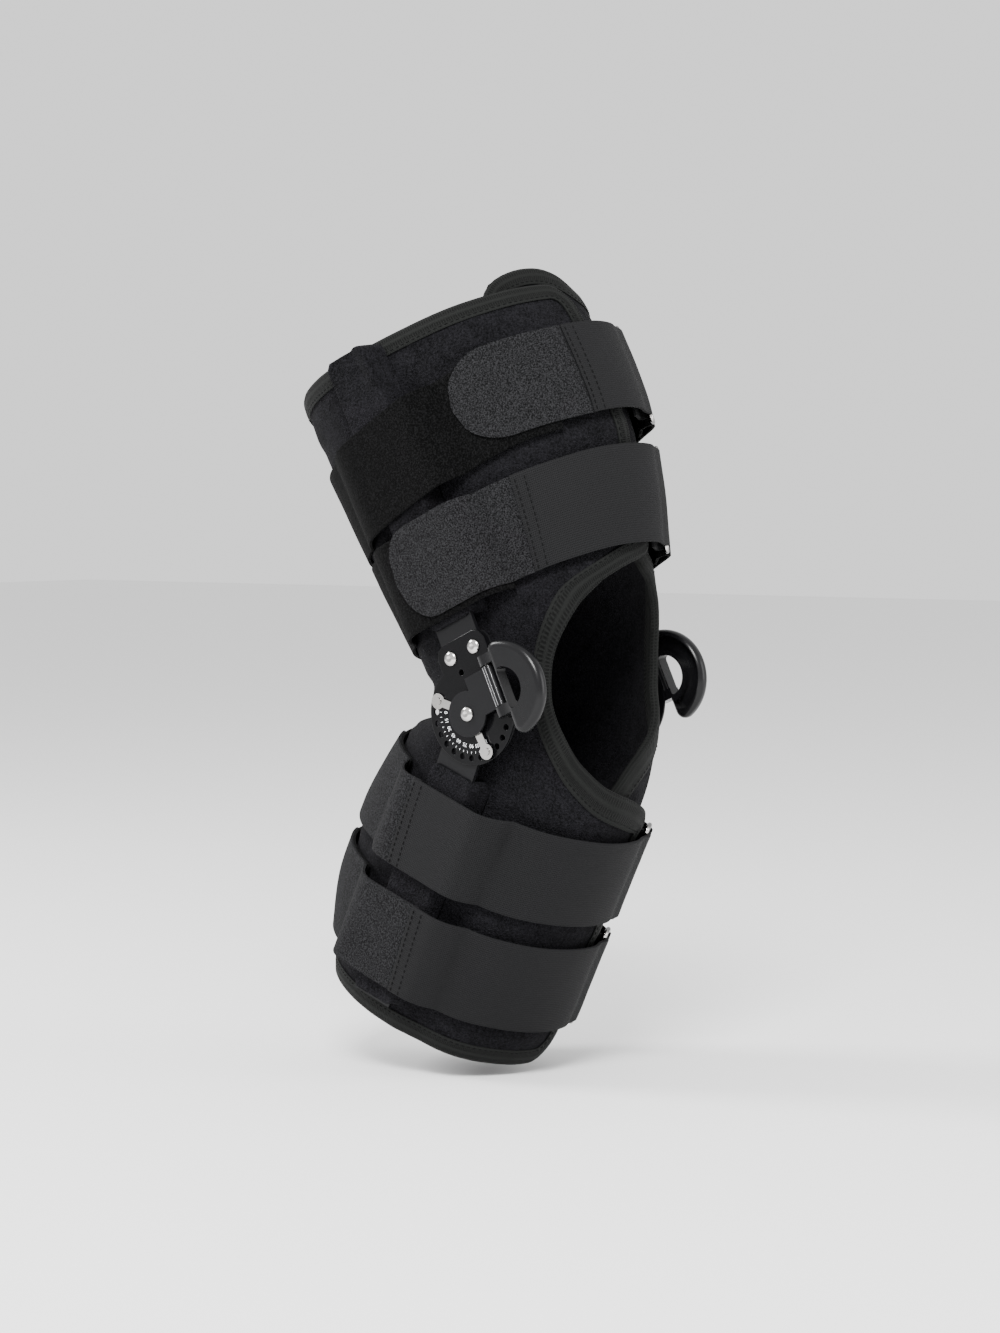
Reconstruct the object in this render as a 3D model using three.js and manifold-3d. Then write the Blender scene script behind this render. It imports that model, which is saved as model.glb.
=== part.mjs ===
// Hinged knee immobilizer in its worn form, in millimetres.
// +Z is up, -Y is the front of the knee and -X is the lateral side.
// The origin is the centre of the knee between the two hinges.
import * as THREE from 'three';
import { mergeVertices } from 'three/addons/utils/BufferGeometryUtils.js';
import Module from 'manifold-3d';

const wasm = await Module();
wasm.setup();

// Overall form
const thighTilt = 25;
const calfTilt = 22;
const thighLength = 205;
const calfLength = 188;
const kneeHalfWidth = 60;
const kneeDepth = 70;
const bendLength = 40;

// Fabric
const wrapWall = 3.5;
const lapGap = 2.4;
const lapLift = wrapWall + lapGap;
const tapeWidth = 9;
const tapeWall = 0.9;
const tapeGap = 0.8;
const strapWidth = 52;
const strapWall = 2;
const strapGap = 0.9;
const pocketWidth = 38;
const pocketPly = 1.3;

// Metal arms
const armWidth = 26;
const armWall = 2.5;
const armSlack = 0.35;
const armShift = 8;
const armShiftEnd = 14;
const calfArmShiftEnd = -11;

// Hinge
const plateWall = 1.5;
const pointerWall = 0.8;
const pointerHead = 4.3;
const pointerHub = 6.5;
const layerGap = 0.3;
const hingeGap = 6;
const hingeX = kneeHalfWidth + hingeGap;
const dialRadius = 28;
const holeCircle = 24;
const holeRadius = 1.7;
const lugRadius = 20;
const pivotRadius = 3;
const rivetRadius = 2;
const rivetHead = 4.1;
const boreGap = 0.3;
const coverRadius = 12.5;
const knuckleForward = 24;
const knuckleLength = 23;
const knuckleRadius = 3.2;
const pinRadius = 1.4;
const handleRadius = 27.4;
const handleWall = 8;
const windowWall = 2.5;
const windowRadius = 12;

// Ring
const ringWire = 3;
const ringDepth = 13;
const ringSeat = 0.5;

const rad = (degrees) => degrees * Math.PI / 180;
const clamp = (t) => Math.min(1, Math.max(0, t));
const smooth = (t) => clamp(t) ** 2 * (3 - 2 * clamp(t));

// Sections of the wrap's outer face. Up: share of the thigh or calf length.
// Half width: share of the knee's half width. Front and back: shares of the knee's depth.
const sections = [
  { up: -1.000, half: 0.917, front: 0.80, back: 1.07 },
  { up: -0.904, half: 0.967, front: 0.83, back: 1.14 },
  { up: -0.691, half: 1.017, front: 0.86, back: 1.26 },
  { up: -0.479, half: 1.033, front: 0.89, back: 1.23 },
  { up: -0.266, half: 1.017, front: 0.93, back: 1.10 },
  { up: -0.117, half: 1.000, front: 0.98, back: 0.97 },
  { up: -0.043, half: 1.000, front: 1.00, back: 0.83 },
  { up: 0.015, half: 1.000, front: 1.02, back: 0.69 },
  { up: 0.078, half: 1.000, front: 1.08, back: 0.77 },
  { up: 0.244, half: 1.050, front: 1.24, back: 0.81 },
  { up: 0.439, half: 1.150, front: 1.42, back: 0.86 },
  { up: 0.683, half: 1.250, front: 1.55, back: 0.91 },
  { up: 0.854, half: 1.300, front: 1.53, back: 0.94 },
  { up: 1.000, half: 1.333, front: 1.45, back: 0.94 },
];
const lengthFor = (share) => share * (share < 0 ? calfLength : thighLength);
const sectionRows = sections.map((row) => lengthFor(row.up));

function sectionAt(v) {
  let k = 1;
  while (k < sections.length - 1 && v > sectionRows[k]) k += 1;
  const t = (v - sectionRows[k - 1]) / (sectionRows[k] - sectionRows[k - 1]);
  const mix = (name) => sections[k - 1][name] * (1 - t) + sections[k][name] * t;
  return {
    half: mix('half') * kneeHalfWidth,
    front: mix('front') * kneeDepth,
    back: mix('back') * kneeDepth,
  };
}

// The middle line: straight along the calf, an arc at the knee, straight along the thigh.
const bendTotal = rad(thighTilt + calfTilt);
const bendRadius = 2 * bendLength / bendTotal;
const bendTangent = bendRadius * Math.tan(bendTotal / 2);
const frontOf = (a) => new THREE.Vector3(0, -Math.cos(a), Math.sin(a));
const upOf = (a) => new THREE.Vector3(0, Math.sin(a), Math.cos(a));
const bendCentre = upOf(-rad(calfTilt)).multiplyScalar(-bendTangent)
  .addScaledVector(frontOf(-rad(calfTilt)), -bendRadius);

// A point of the leg form: angle round the leg (0 front, 90 medial, 180 back, 270 lateral),
// distance up the leg and height over the wrap's outer face.
function legPoint(angle, v, height) {
  const turn = Math.min(rad(thighTilt), Math.max(-rad(calfTilt),
    -rad(calfTilt) + (v + bendLength) / bendRadius));
  const past = Math.sign(v) * Math.max(0, Math.abs(v) - bendLength);
  const { half, front, back } = sectionAt(v);
  const c = Math.cos(rad(angle));
  const s = Math.sin(rad(angle));
  const point = bendCentre.clone().addScaledVector(frontOf(turn), bendRadius)
    .addScaledVector(upOf(turn), past)
    .addScaledVector(frontOf(turn), ((c > 0 ? front : back) + height) * c);
  point.x += (half + height) * s;
  return point;
}

// Meshes and solids
function makeGeometry(points, faces) {
  const geometry = new THREE.BufferGeometry();
  geometry.setAttribute('position', new THREE.Float32BufferAttribute(
    points.flatMap((p) => [p.x, p.y, p.z]), 3));
  geometry.setIndex(faces.flat());
  return outward(geometry);
}

function outward(geometry) {
  geometry.deleteAttribute('normal');
  geometry.deleteAttribute('uv');
  const merged = mergeVertices(geometry, 1e-4);
  const at = merged.getAttribute('position');
  const index = Array.from(merged.getIndex().array);
  const corner = (i) => new THREE.Vector3().fromBufferAttribute(at, index[i]);
  let volume = 0;
  for (let i = 0; i < index.length; i += 3) {
    volume += corner(i).dot(corner(i + 1).cross(corner(i + 2)));
  }
  if (volume < 0) {
    for (let i = 0; i < index.length; i += 3) {
      [index[i + 1], index[i + 2]] = [index[i + 2], index[i + 1]];
    }
    merged.setIndex(index);
  }
  return merged;
}

function toSolid(geometry) {
  return new wasm.Manifold(new wasm.Mesh({
    numProp: 3,
    vertProperties: new Float32Array(geometry.getAttribute('position').array),
    triVerts: new Uint32Array(geometry.getIndex().array),
  }));
}

function toGeometry(solid) {
  const mesh = solid.getMesh();
  const geometry = new THREE.BufferGeometry();
  geometry.setAttribute('position', new THREE.Float32BufferAttribute(mesh.vertProperties, 3));
  geometry.setIndex(Array.from(mesh.triVerts));
  return geometry;
}

function cut(geometry, ...tools) {
  return toGeometry(tools.reduce((body, tool) => body.subtract(toSolid(tool)), toSolid(geometry)));
}

function join(geometry, ...others) {
  return toGeometry(others.reduce((body, other) => body.add(toSolid(other)), toSolid(geometry)));
}

// A closed wall from rows of outer and inner points
function wall(outer, inner) {
  const rows = outer.length;
  const cols = outer[0].length;
  const points = [...outer.flat(), ...inner.flat()];
  const at = (side, r, c) => side * rows * cols + r * cols + c;
  const faces = [];
  const quad = (a, b, c, d) => faces.push([a, b, c], [a, c, d]);
  for (let r = 0; r < rows - 1; r += 1) {
    for (let c = 0; c < cols - 1; c += 1) {
      quad(at(0, r, c), at(0, r, c + 1), at(0, r + 1, c + 1), at(0, r + 1, c));
      quad(at(1, r, c), at(1, r + 1, c), at(1, r + 1, c + 1), at(1, r, c + 1));
    }
    quad(at(0, r, 0), at(0, r + 1, 0), at(1, r + 1, 0), at(1, r, 0));
    quad(at(0, r + 1, cols - 1), at(0, r, cols - 1), at(1, r, cols - 1), at(1, r + 1, cols - 1));
  }
  for (let c = 0; c < cols - 1; c += 1) {
    quad(at(0, 0, c + 1), at(0, 0, c), at(1, 0, c), at(1, 0, c + 1));
    quad(at(0, rows - 1, c), at(0, rows - 1, c + 1), at(1, rows - 1, c + 1), at(1, rows - 1, c));
  }
  return makeGeometry(points, faces);
}

// A closed tube of sections: each is a ring of points, and the ends are capped or joined
function loft(rings, closed = false) {
  const count = rings[0].length;
  const faces = [];
  const last = closed ? rings.length : rings.length - 1;
  for (let r = 0; r < last; r += 1) {
    const next = (r + 1) % rings.length;
    for (let i = 0; i < count; i += 1) {
      const j = (i + 1) % count;
      faces.push([r * count + i, r * count + j, next * count + j]);
      faces.push([r * count + i, next * count + j, next * count + i]);
    }
  }
  if (!closed) {
    const outline = rings[0].map((p) => p.flat);
    const caps = THREE.ShapeUtils.triangulateShape(outline, []);
    const base = (rings.length - 1) * count;
    caps.forEach(([a, b, c]) => faces.push([a, c, b], [base + a, base + b, base + c]));
  }
  return makeGeometry(rings.flat().map((p) => p.at), faces);
}

const assembly = new THREE.Group();
const finish = (color, roughness, metalness) => new THREE.MeshStandardMaterial(
  { color, roughness, metalness });
const materials = {
  fabric: finish(0x17171b, 0.95, 0),
  tape: finish(0x20241f, 0.8, 0),
  loop: finish(0x0d0d0e, 1, 0),
  elastic: finish(0x27272a, 0.85, 0),
  hook: finish(0x2c2c2f, 0.7, 0),
  coated: finish(0x1b1b1d, 0.35, 0.5),
  plastic: finish(0x0c0c0d, 0.25, 0),
  steel: finish(0xc9c7c4, 0.2, 1),
};

function addPiece(name, geometry, material) {
  const mesh = new THREE.Mesh(geometry, materials[material]);
  mesh.name = name;
  assembly.add(mesh);
}

// Edges of the wrap. Up: share of the thigh or calf length. Under and outer: the angles
// at which the under flap starts and the outer flap ends.
const flapEdges = [
  { up: -1.000, under: -27, outer: 4 },
  { up: -0.955, under: -30, outer: 14 },
  { up: -0.691, under: -30, outer: 18 },
  { up: -0.479, under: -30, outer: 18 },
  { up: -0.240, under: -28, outer: 18 },
  { up: -0.197, under: -23, outer: 17 },
  { up: -0.158, under: -14, outer: -5 },
  { up: -0.142, under: -11, outer: -20 },
  { up: -0.120, under: -7, outer: -30 },
  { up: -0.095, under: -1, outer: -38 },
  { up: -0.064, under: 10, outer: -44 },
  { up: -0.030, under: 30, outer: -49 },
  { up: 0.028, under: 44, outer: -53 },
  { up: 0.080, under: 45, outer: -53 },
  { up: 0.117, under: 42, outer: -50 },
  { up: 0.151, under: 35, outer: -44 },
  { up: 0.178, under: 28, outer: -36 },
  { up: 0.200, under: 19, outer: -24 },
  { up: 0.244, under: 5, outer: 3 },
  { up: 0.276, under: -8, outer: 7 },
  { up: 0.322, under: -20, outer: 7 },
  { up: 0.380, under: -31, outer: 5 },
  { up: 0.470, under: -37, outer: 2 },
  { up: 0.600, under: -38, outer: 0 },
  { up: 0.890, under: -38, outer: -2 },
  { up: 0.960, under: -36, outer: -3 },
  { up: 1.000, under: -31, outer: -9 },
];

// The under flap's top edge rises in a low hump beside the outer flap.
const humpRise = 13;
const humpFrom = -40;
const humpTo = 12;
const humpStart = 0.73;
function topRise(angle) {
  const t = clamp((angle - humpFrom) / (humpTo - humpFrom));
  return humpRise * Math.sin(Math.PI * t) ** 0.7;
}

const lapStart = 284;
const lapEnd = 318;
const lapHeight = (angle) => lapLift * smooth((angle - lapStart) / (lapEnd - lapStart));
const step = 15;
const steadyFrom = 60;
const steadyTo = 285;
const freeSteps = 5;

function wrapAngles(row) {
  const angles = [];
  for (let i = 0; i < freeSteps; i += 1) {
    angles.push(row.under + (steadyFrom - row.under) * i / freeSteps);
  }
  for (let a = steadyFrom; a < steadyTo; a += step) angles.push(a);
  for (let i = 0; i <= freeSteps; i += 1) {
    angles.push(steadyTo + (360 + row.outer - steadyTo) * i / freeSteps);
  }
  return angles;
}

const wrapGrid = flapEdges.map((row) => wrapAngles(row).map((angle) => {
  const v = lengthFor(row.up);
  const share = smooth((row.up - humpStart) / (1 - humpStart));
  return { angle, v: v + share * topRise(angle) };
}));
const wrapPoint = ({ angle, v }, height) => legPoint(angle, v, lapHeight(angle) + height);
addPiece('wrap', wall(
  wrapGrid.map((row) => row.map((p) => wrapPoint(p, 0))),
  wrapGrid.map((row) => row.map((p) => wrapPoint(p, -wrapWall)))), 'fabric');

// Edge tape: it lies on the wrap and turns over its edge, once round the whole outline
function tapeRings() {
  const bottom = wrapGrid[0];
  const top = wrapGrid[wrapGrid.length - 1];
  const outerSide = wrapGrid.slice(1, -1).map((row) => row[row.length - 1]);
  const underSide = wrapGrid.slice(1, -1).map((row) => row[0]);
  const loop = [...bottom, ...outerSide, ...[...top].reverse(), ...underSide.reverse()];
  const reach = tapeGap + tapeWall;
  const profile = [
    [-tapeWidth, reach], [reach, reach], [reach, -wrapWall],
    [tapeGap, -wrapWall], [tapeGap, tapeGap], [-tapeWidth, tapeGap],
  ];
  const scaleAt = (p) => wrapPoint(p, 0).distanceTo(
    wrapPoint({ angle: p.angle + 1, v: p.v }, 0));
  return loop.map((p, i) => {
    const before = loop[(i + loop.length - 1) % loop.length];
    const after = loop[(i + 1) % loop.length];
    const scale = scaleAt(p);
    const away = (a, b) => new THREE.Vector2((b.v - a.v), -(b.angle - a.angle) * scale).normalize();
    const first = away(before, p);
    const second = away(p, after);
    const middle = first.clone().add(second).normalize();
    const stretch = 1 / Math.max(0.7, middle.dot(first));
    return profile.map(([out, height]) => {
      const reachOut = out * stretch;
      const angle = p.angle + middle.x * reachOut / scale;
      const v = p.v + middle.y * reachOut;
      return { at: legPoint(angle, v, lapHeight(angle) + height) };
    });
  });
}
const tapeSeat = 0.35;
addPiece('edge_tape', cut(loft(tapeRings(), true), wall(
  wrapGrid.map((row) => row.map((p) => wrapPoint(p, tapeSeat))),
  wrapGrid.map((row) => row.map((p) => wrapPoint(p, -wrapWall - tapeSeat))))), 'tape');

// Metal arms. Side is -1 lateral, 1 medial.
const armLayer = hingeX + plateWall + layerGap + armWall / 2;
const thighStart = 26;
const thighBend = 50;
const thighEnd = 0.97 * thighLength;
const thighArmOut = (4 / 15) * kneeHalfWidth;
const calfBend = 38;
const calfEnd = 0.95 * calfLength;
const calfArmIn = (7 / 60) * kneeHalfWidth;

function armLine(limb, along) {
  const [bend, end, out] = limb === 'thigh'
    ? [thighBend, thighEnd, thighArmOut] : [calfBend, calfEnd, -calfArmIn];
  const t = Math.max(0, (along - bend) / (end - bend));
  const shift = limb === 'thigh'
    ? armShift + (armShiftEnd - armShift) * t : calfArmShiftEnd * t;
  return { x: armLayer + out * t, forward: shift };
}

// A point of a limb's own frame: forward, along the limb away from the knee, out sideways
function limbPoint(limb, side, forward, along, x) {
  const tilt = limb === 'thigh' ? rad(thighTilt) : -rad(calfTilt);
  const sign = limb === 'thigh' ? 1 : -1;
  return new THREE.Vector3(side * x, 0, 0).addScaledVector(frontOf(tilt), forward)
    .addScaledVector(upOf(tilt), sign * along);
}

function limbLoft(limb, side, stations) {
  return loft(stations.map(({ along, outline }) => outline.map(([forward, x]) => ({
    at: limbPoint(limb, side, forward, along, x),
    flat: new THREE.Vector2(forward, x),
  }))));
}

function armBar(limb, side, from, to, bend, slack) {
  const stations = [from, bend, to].map((along) => {
    const { x, forward } = armLine(limb, Math.min(along, limb === 'thigh' ? thighEnd : calfEnd));
    const w = armWidth / 2 + slack;
    const t = armWall / 2 + slack;
    return { along, outline: [[forward - w, x - t], [forward + w, x - t],
      [forward + w, x + t], [forward - w, x + t]] };
  });
  return limbLoft(limb, side, stations);
}

// A flat plate drawn in the thigh's frame, between two distances from the middle
function plate(shape, side, from, to, limb = 'thigh') {
  const geometry = new THREE.ExtrudeGeometry(shape, { depth: to - from, bevelEnabled: false });
  const at = geometry.getAttribute('position');
  for (let i = 0; i < at.count; i += 1) {
    const p = limbPoint(limb, side, at.getX(i), at.getY(i), from + at.getZ(i));
    at.setXYZ(i, p.x, p.y, p.z);
  }
  return outward(geometry);
}

// Round outlines: a full circle, or an arc between two angles in degrees
const arc = (x, y, radius, from, to, sides) => Array.from({ length: sides + 1 }, (_, i) => {
  const t = rad(from + (to - from) * i / sides);
  return new THREE.Vector2(x + radius * Math.cos(t), y + radius * Math.sin(t));
});
const round = (x, y, radius, sides) => arc(x, y, radius, 0, 360, sides).slice(0, -1);
const disc = (x, y, radius, sides = 16) => new THREE.Shape(round(x, y, radius, sides));
const holePath = (x, y, radius, sides = 8) => new THREE.Path(round(x, y, radius, sides).reverse());
const rivetSpots = [[armShift - 8.5, 32.5], [armShift + 8.5, 32.5]];
const indexSpot = [3, 23];

function armPieces(side, name) {
  const rivetTools = rivetSpots.map(([x, y]) => plate(
    disc(x, y, rivetRadius + boreGap, 8), side, hingeX - 2, hingeX + 8));
  addPiece(`arm_thigh_${name}`, cut(armBar('thigh', side, thighStart, thighEnd, thighBend, 0),
    ...rivetTools), 'coated');
  const lug = plate(disc(0, 0, lugRadius, 20), side, armLayer - armWall / 2,
    armLayer + armWall / 2, 'calf');
  const bore = plate(disc(0, 0, pivotRadius + boreGap, 10), side, hingeX - 2, hingeX + 8, 'calf');
  addPiece(`arm_calf_${name}`, cut(join(lug,
    armBar('calf', side, lugRadius / 2, calfEnd, calfBend, 0)), bore), 'coated');
}

// Pockets: sleeves that lie on the wrap and go round the arms
const pocketGap = 0.7;
const pocketTapeLift = 2.1;
const thighPocketFrom = 52;
const thighPocketTo = 1.01 * thighLength;
const calfPocketFrom = 36;
const calfPocketTo = 0.938 * calfLength;
const tapeReach = 1 - 1.5 * tapeWidth / thighLength;

function pocket(limb, side) {
  const [from, to] = limb === 'thigh'
    ? [thighPocketFrom, thighPocketTo] : [calfPocketFrom, calfPocketTo];
  const sign = limb === 'thigh' ? 1 : -1;
  const offset = bendTangent - bendLength;
  const cuts = sectionRows.map((v) => sign * v + offset)
    .filter((along) => along > from + 4 && along < to - 4);
  const tape = limb === 'thigh' ? [tapeReach * thighLength, tapeReach * thighLength + 3] : [];
  const stations = [from, ...cuts, ...tape, to].sort((a, b) => a - b).map((along) => {
    const { x, forward } = armLine(limb, along);
    const v = sign * (along - offset);
    const section = sectionAt(v);
    const outer = x + armWall / 2 + armSlack + pocketPly;
    const lift = limb === 'thigh' && along > tapeReach * thighLength + 1
      ? pocketTapeLift : pocketGap;
    const seat = (n) => {
      const depth = n > 0 ? section.front : section.back;
      return (section.half + lift) * Math.sqrt(1 - (n / (depth + lift)) ** 2);
    };
    const half = pocketWidth / 2;
    const inner = armWidth / 2 + armSlack + pocketPly;
    const outline = [[-half, 0], [-inner / 2, 0], [inner / 2, 0], [half, 0]]
      .map(([n]) => [forward + n, seat(forward + n)]);
    outline.push([forward + half, seat(forward + half) + pocketPly], [forward + inner, outer],
      [forward - inner, outer], [forward - half, seat(forward - half) + pocketPly]);
    return { along, outline };
  });
  const body = limbLoft(limb, side, stations);
  const [slotFrom, slotTo, bend] = limb === 'thigh'
    ? [from - 5, to + 5, thighEnd] : [from - 5, calfEnd + 1, from];
  return cut(body, armBar(limb, side, slotFrom, slotTo, bend, armSlack));
}

// Straps
const topBandLift = strapWall + 1.4;

function pocketHeight(angle, v) {
  const section = sectionAt(v);
  const limb = v > 0 ? 'thigh' : 'calf';
  const along = Math.abs(v) + bendTangent - bendLength;
  const { x, forward } = armLine(limb, along);
  const c = Math.cos(rad(angle));
  const n = (c > 0 ? section.front : section.back) * c;
  const outer = (x + armWall / 2 + armSlack + pocketPly) / Math.abs(Math.sin(rad(angle)) || 1);
  const away = Math.abs(n - forward) - pocketWidth / 2;
  return (outer - section.half) * smooth(1 - away / (0.6 * pocketWidth));
}

const strapRest = (angle, v) => Math.max(pocketHeight(angle, v),
  lapHeight(angle) + (angle > lapStart ? (tapeGap + tapeWall) * clamp((angle - lapStart) / 20) : 0));

// Strap table. Low: the band's lower edge as a share of the thigh or calf length; the angles
// are where the ring stands, where the top band is sewn to the tab, and where the tab and
// the base band end; shift is how far the base band lies off the top band.
const straps = [
  { name: 'thigh_upper', low: 0.610, ring: 25, seam: 345, tab: 300, base: 330, shift: -4 },
  { name: 'thigh_lower', low: 0.264, ring: 27, seam: 312, tab: 260, base: 300, shift: -3 },
  { name: 'calf_upper', low: -0.516, ring: 27, seam: 260, tab: 182, base: 240, shift: 0 },
  { name: 'calf_lower', low: -0.872, ring: 27, seam: 275, tab: 180, base: 240, shift: 0 },
];
const flapEdgeEnd = 382;
const ringHeight = 7;
const ringSpread = 24;
const ringTop = (ring, angle) => ringHeight * smooth(1 - Math.abs(angle - ring) / ringSpread);

function rowsFor(low, high) {
  const inside = sectionRows.filter((v) => v > low + 3 && v < high - 3);
  return [low, ...inside, high];
}

// The angles of a band's folds, closer together where it lies on the pockets
function anglesFor(from, to) {
  const list = [from];
  const close = (a) => Math.min(Math.abs(a - 90), Math.abs(a - 270)) < 2.2 * step;
  for (let a = Math.ceil((from + 3) / step) * step; a < to - 3; a += close(a) ? step / 2 : step) {
    list.push(a);
  }
  return [...list, to];
}

function band(angles, low, high, heightAt, roundEnd) {
  const middle = (low + high) / 2;
  const half = (high - low) / 2;
  const rows = rowsFor(low, high);
  const edgeAt = (angle) => {
    const arc = Math.abs(angle - angles[0]) / 180 * Math.PI * kneeHalfWidth * 1.2;
    return roundEnd && arc < half
      ? Math.sqrt(Math.max(0.12, 1 - (1 - arc / half) ** 2)) : 1;
  };
  const grid = (extra) => rows.map((v) => angles.map((angle) => {
    const row = middle + (v - middle) * edgeAt(angle);
    return legPoint(angle, row, heightAt(angle, row) + extra);
  }));
  return wall(grid(strapWall), grid(0));
}

function strapPieces(strap) {
  const low = lengthFor(strap.low);
  const high = low + strapWidth;
  const { ring, seam, tab, base, shift } = strap;
  const perDegree = legPoint(ring, (low + high) / 2, ringHeight)
    .distanceTo(legPoint(ring + 1, (low + high) / 2, ringHeight));
  const barAngle = (ringDepth / 2 + ringSeat) / perDegree;
  const baseHeight = (angle, v) => strapGap + Math.max(strapRest(angle, v), ringTop(ring, angle));
  const topHeight = (angle, v) => {
    const turned = angle > 90 ? angle : angle + 360;
    const ringSide = strapGap + ringTop(ring + 360, turned);
    const flap = strapGap + strapRest(Math.min(turned, flapEdgeEnd), v);
    return Math.max(flap, ringSide) + topBandLift
      * smooth((ring + 360 - barAngle - turned) / 12);
  };
  addPiece(`strap_base_${strap.name}`, band(anglesFor(ring + barAngle, base),
    low + shift, high + shift, baseHeight, false), 'loop');
  addPiece(`strap_top_${strap.name}`, band(anglesFor(seam + 0.3, ring + 360 - barAngle),
    low, high, topHeight, false), 'elastic');
  const tabAngles = [tab, tab + 3, tab + 7, tab + 13, ...anglesFor(tab + 20, seam)];
  addPiece(`strap_tab_${strap.name}`, band(tabAngles, low, high, topHeight, true), 'hook');
  addPiece(`strap_ring_${strap.name}`, ringPiece(ring, low, high), 'steel');
}

// A rectangular wire ring that stands across the strap's end
function ringPiece(ring, low, high) {
  const middle = (low + high) / 2;
  const centre = legPoint(ring, middle, strapGap + ringHeight + strapWall / 2);
  const up = legPoint(ring, middle + 5, 0).sub(legPoint(ring, middle - 5, 0)).normalize();
  const around = legPoint(ring + 4, middle, 0).sub(legPoint(ring - 4, middle, 0)).normalize();
  const out = new THREE.Vector3().crossVectors(around, up).normalize();
  const long = strapWidth / 2 + 1 + ringWire / 2;
  const wide = ringDepth / 2 - ringWire / 2;
  const bend = 2;
  const path = [];
  [[1, 1, 0], [-1, 1, 90], [-1, -1, 180], [1, -1, 270]].forEach(([a, b, start]) => {
    [0, 45, 90].forEach((turn) => {
      const t = rad(start + turn);
      path.push([a * (wide - bend) + bend * Math.cos(t), b * (long - bend) + bend * Math.sin(t)]);
    });
  });
  const rings = path.map(([a, b], i) => {
    const [pa, pb] = path[(i + path.length - 1) % path.length];
    const [na, nb] = path[(i + 1) % path.length];
    const way = new THREE.Vector2(na - pa, nb - pb).normalize();
    const sides = 5;
    return Array.from({ length: sides }, (_, k) => {
      const t = 2 * Math.PI * k / sides;
      const off = ringWire / 2 * Math.cos(t);
      return { at: centre.clone().addScaledVector(around, a + way.y * off)
        .addScaledVector(up, b - way.x * off)
        .addScaledVector(out, ringWire / 2 * Math.sin(t)) };
    });
  });
  return loft(rings, true);
}

// Hinge plates
const dialX = armLayer + armWall / 2 + layerGap;
const pointerX = dialX + plateWall + layerGap;
const coverX = pointerX + 2 * (pointerWall + layerGap);
const headX = coverX + plateWall + layerGap;
const neckHalf = 17;
const neckTop = 41;
const neckCorner = 6;

function keyhole(radius) {
  const left = armShift - neckHalf;
  const right = armShift + neckHalf;
  const start = Math.acos(right / radius) / rad(1);
  const end = Math.acos(left / radius) / rad(1);
  const neck = [[right, neckTop - neckCorner], [right - neckCorner, neckTop],
    [left + neckCorner, neckTop], [left, neckTop - neckCorner]];
  return new THREE.Shape([...arc(0, 0, radius, end, start + 360, 22),
    ...neck.map(([x, y]) => new THREE.Vector2(x, y))]);
}

const dialPitch = 15;
const dialHoles = 12;
const spotOnDial = (degrees, radius) => {
  const t = rad(degrees - thighTilt);
  return [-radius * Math.cos(t), -radius * Math.sin(t)];
};

function dialPlate(side) {
  const shape = keyhole(dialRadius);
  shape.holes.push(holePath(0, 0, pivotRadius + boreGap), holePath(...indexSpot, holeRadius));
  rivetSpots.forEach((spot) => shape.holes.push(holePath(...spot, rivetRadius + boreGap)));
  for (let i = 0; i < dialHoles; i += 1) {
    shape.holes.push(holePath(...spotOnDial(i * dialPitch, holeCircle), holeRadius, 6));
  }
  return plate(shape, side, dialX, dialX + plateWall);
}

function backPlate(side) {
  const shape = keyhole(dialRadius - 2);
  shape.holes.push(holePath(0, 0, pivotRadius + boreGap));
  rivetSpots.forEach((spot) => shape.holes.push(holePath(...spot, rivetRadius + boreGap)));
  return plate(shape, side, hingeX, hingeX + plateWall);
}

// A round bar along the thigh's direction, at the knuckle's pin
const pinX = coverX + plateWall / 2 + 1;
const knuckleLow = -5;
const earGap = 0.4;
const earLength = 5.6;

function pinBar(side, radius, from, to, sides = 12) {
  const ring = (along) => Array.from({ length: sides }, (_, k) => {
    const t = 2 * Math.PI * k / sides;
    const forward = knuckleForward + radius * Math.cos(t);
    const x = pinX + radius * Math.sin(t);
    return { at: limbPoint('thigh', side, forward, along, x), flat: new THREE.Vector2(forward, x) };
  });
  return loft([ring(from), ring(to)]);
}

function coverPlate(side) {
  const high = knuckleLow + knuckleLength;
  const shape = new THREE.Shape([...arc(0, 0, coverRadius, 60, 335, 12),
    new THREE.Vector2(knuckleForward - 1, knuckleLow), new THREE.Vector2(knuckleForward - 1, high),
    new THREE.Vector2(coverRadius * Math.cos(rad(60)), high)]);
  shape.holes.push(holePath(0, 0, pivotRadius + boreGap));
  const body = plate(shape, side, coverX, coverX + plateWall);
  return cut(join(body, pinBar(side, knuckleRadius, knuckleLow, high)),
    pinBar(side, pinRadius + boreGap, knuckleLow - 2, high + 2, 8));
}

function lockHandle(side) {
  const middle = knuckleLow + knuckleLength / 2 - 4.5;
  const inner = knuckleForward + knuckleRadius + 1.2;
  const shape = new THREE.Shape(arc(inner, middle, handleRadius, -90, 90, 14));
  shape.holes.push(new THREE.Path(arc(inner + windowWall, middle, windowRadius, -90, 90, 8)));
  const body = plate(shape, side, pinX - handleWall / 2, pinX + handleWall / 2);
  const high = knuckleLow + knuckleLength;
  const ears = [[high + earGap, high + earGap + earLength],
    [knuckleLow - earGap - earLength, knuckleLow - earGap]].map(([from, to]) => {
    const ear = new THREE.Shape([[knuckleForward, from], [inner + 2, from], [inner + 2, to],
      [knuckleForward, to]].map(([x, y]) => new THREE.Vector2(x, y)));
    return join(plate(ear, side, pinX - handleWall / 2, pinX + handleWall / 2),
      pinBar(side, handleWall / 2, from, to));
  });
  return cut(join(body, ...ears),
    pinBar(side, pinRadius + boreGap, knuckleLow - 12, high + 12, 8));
}

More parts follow.
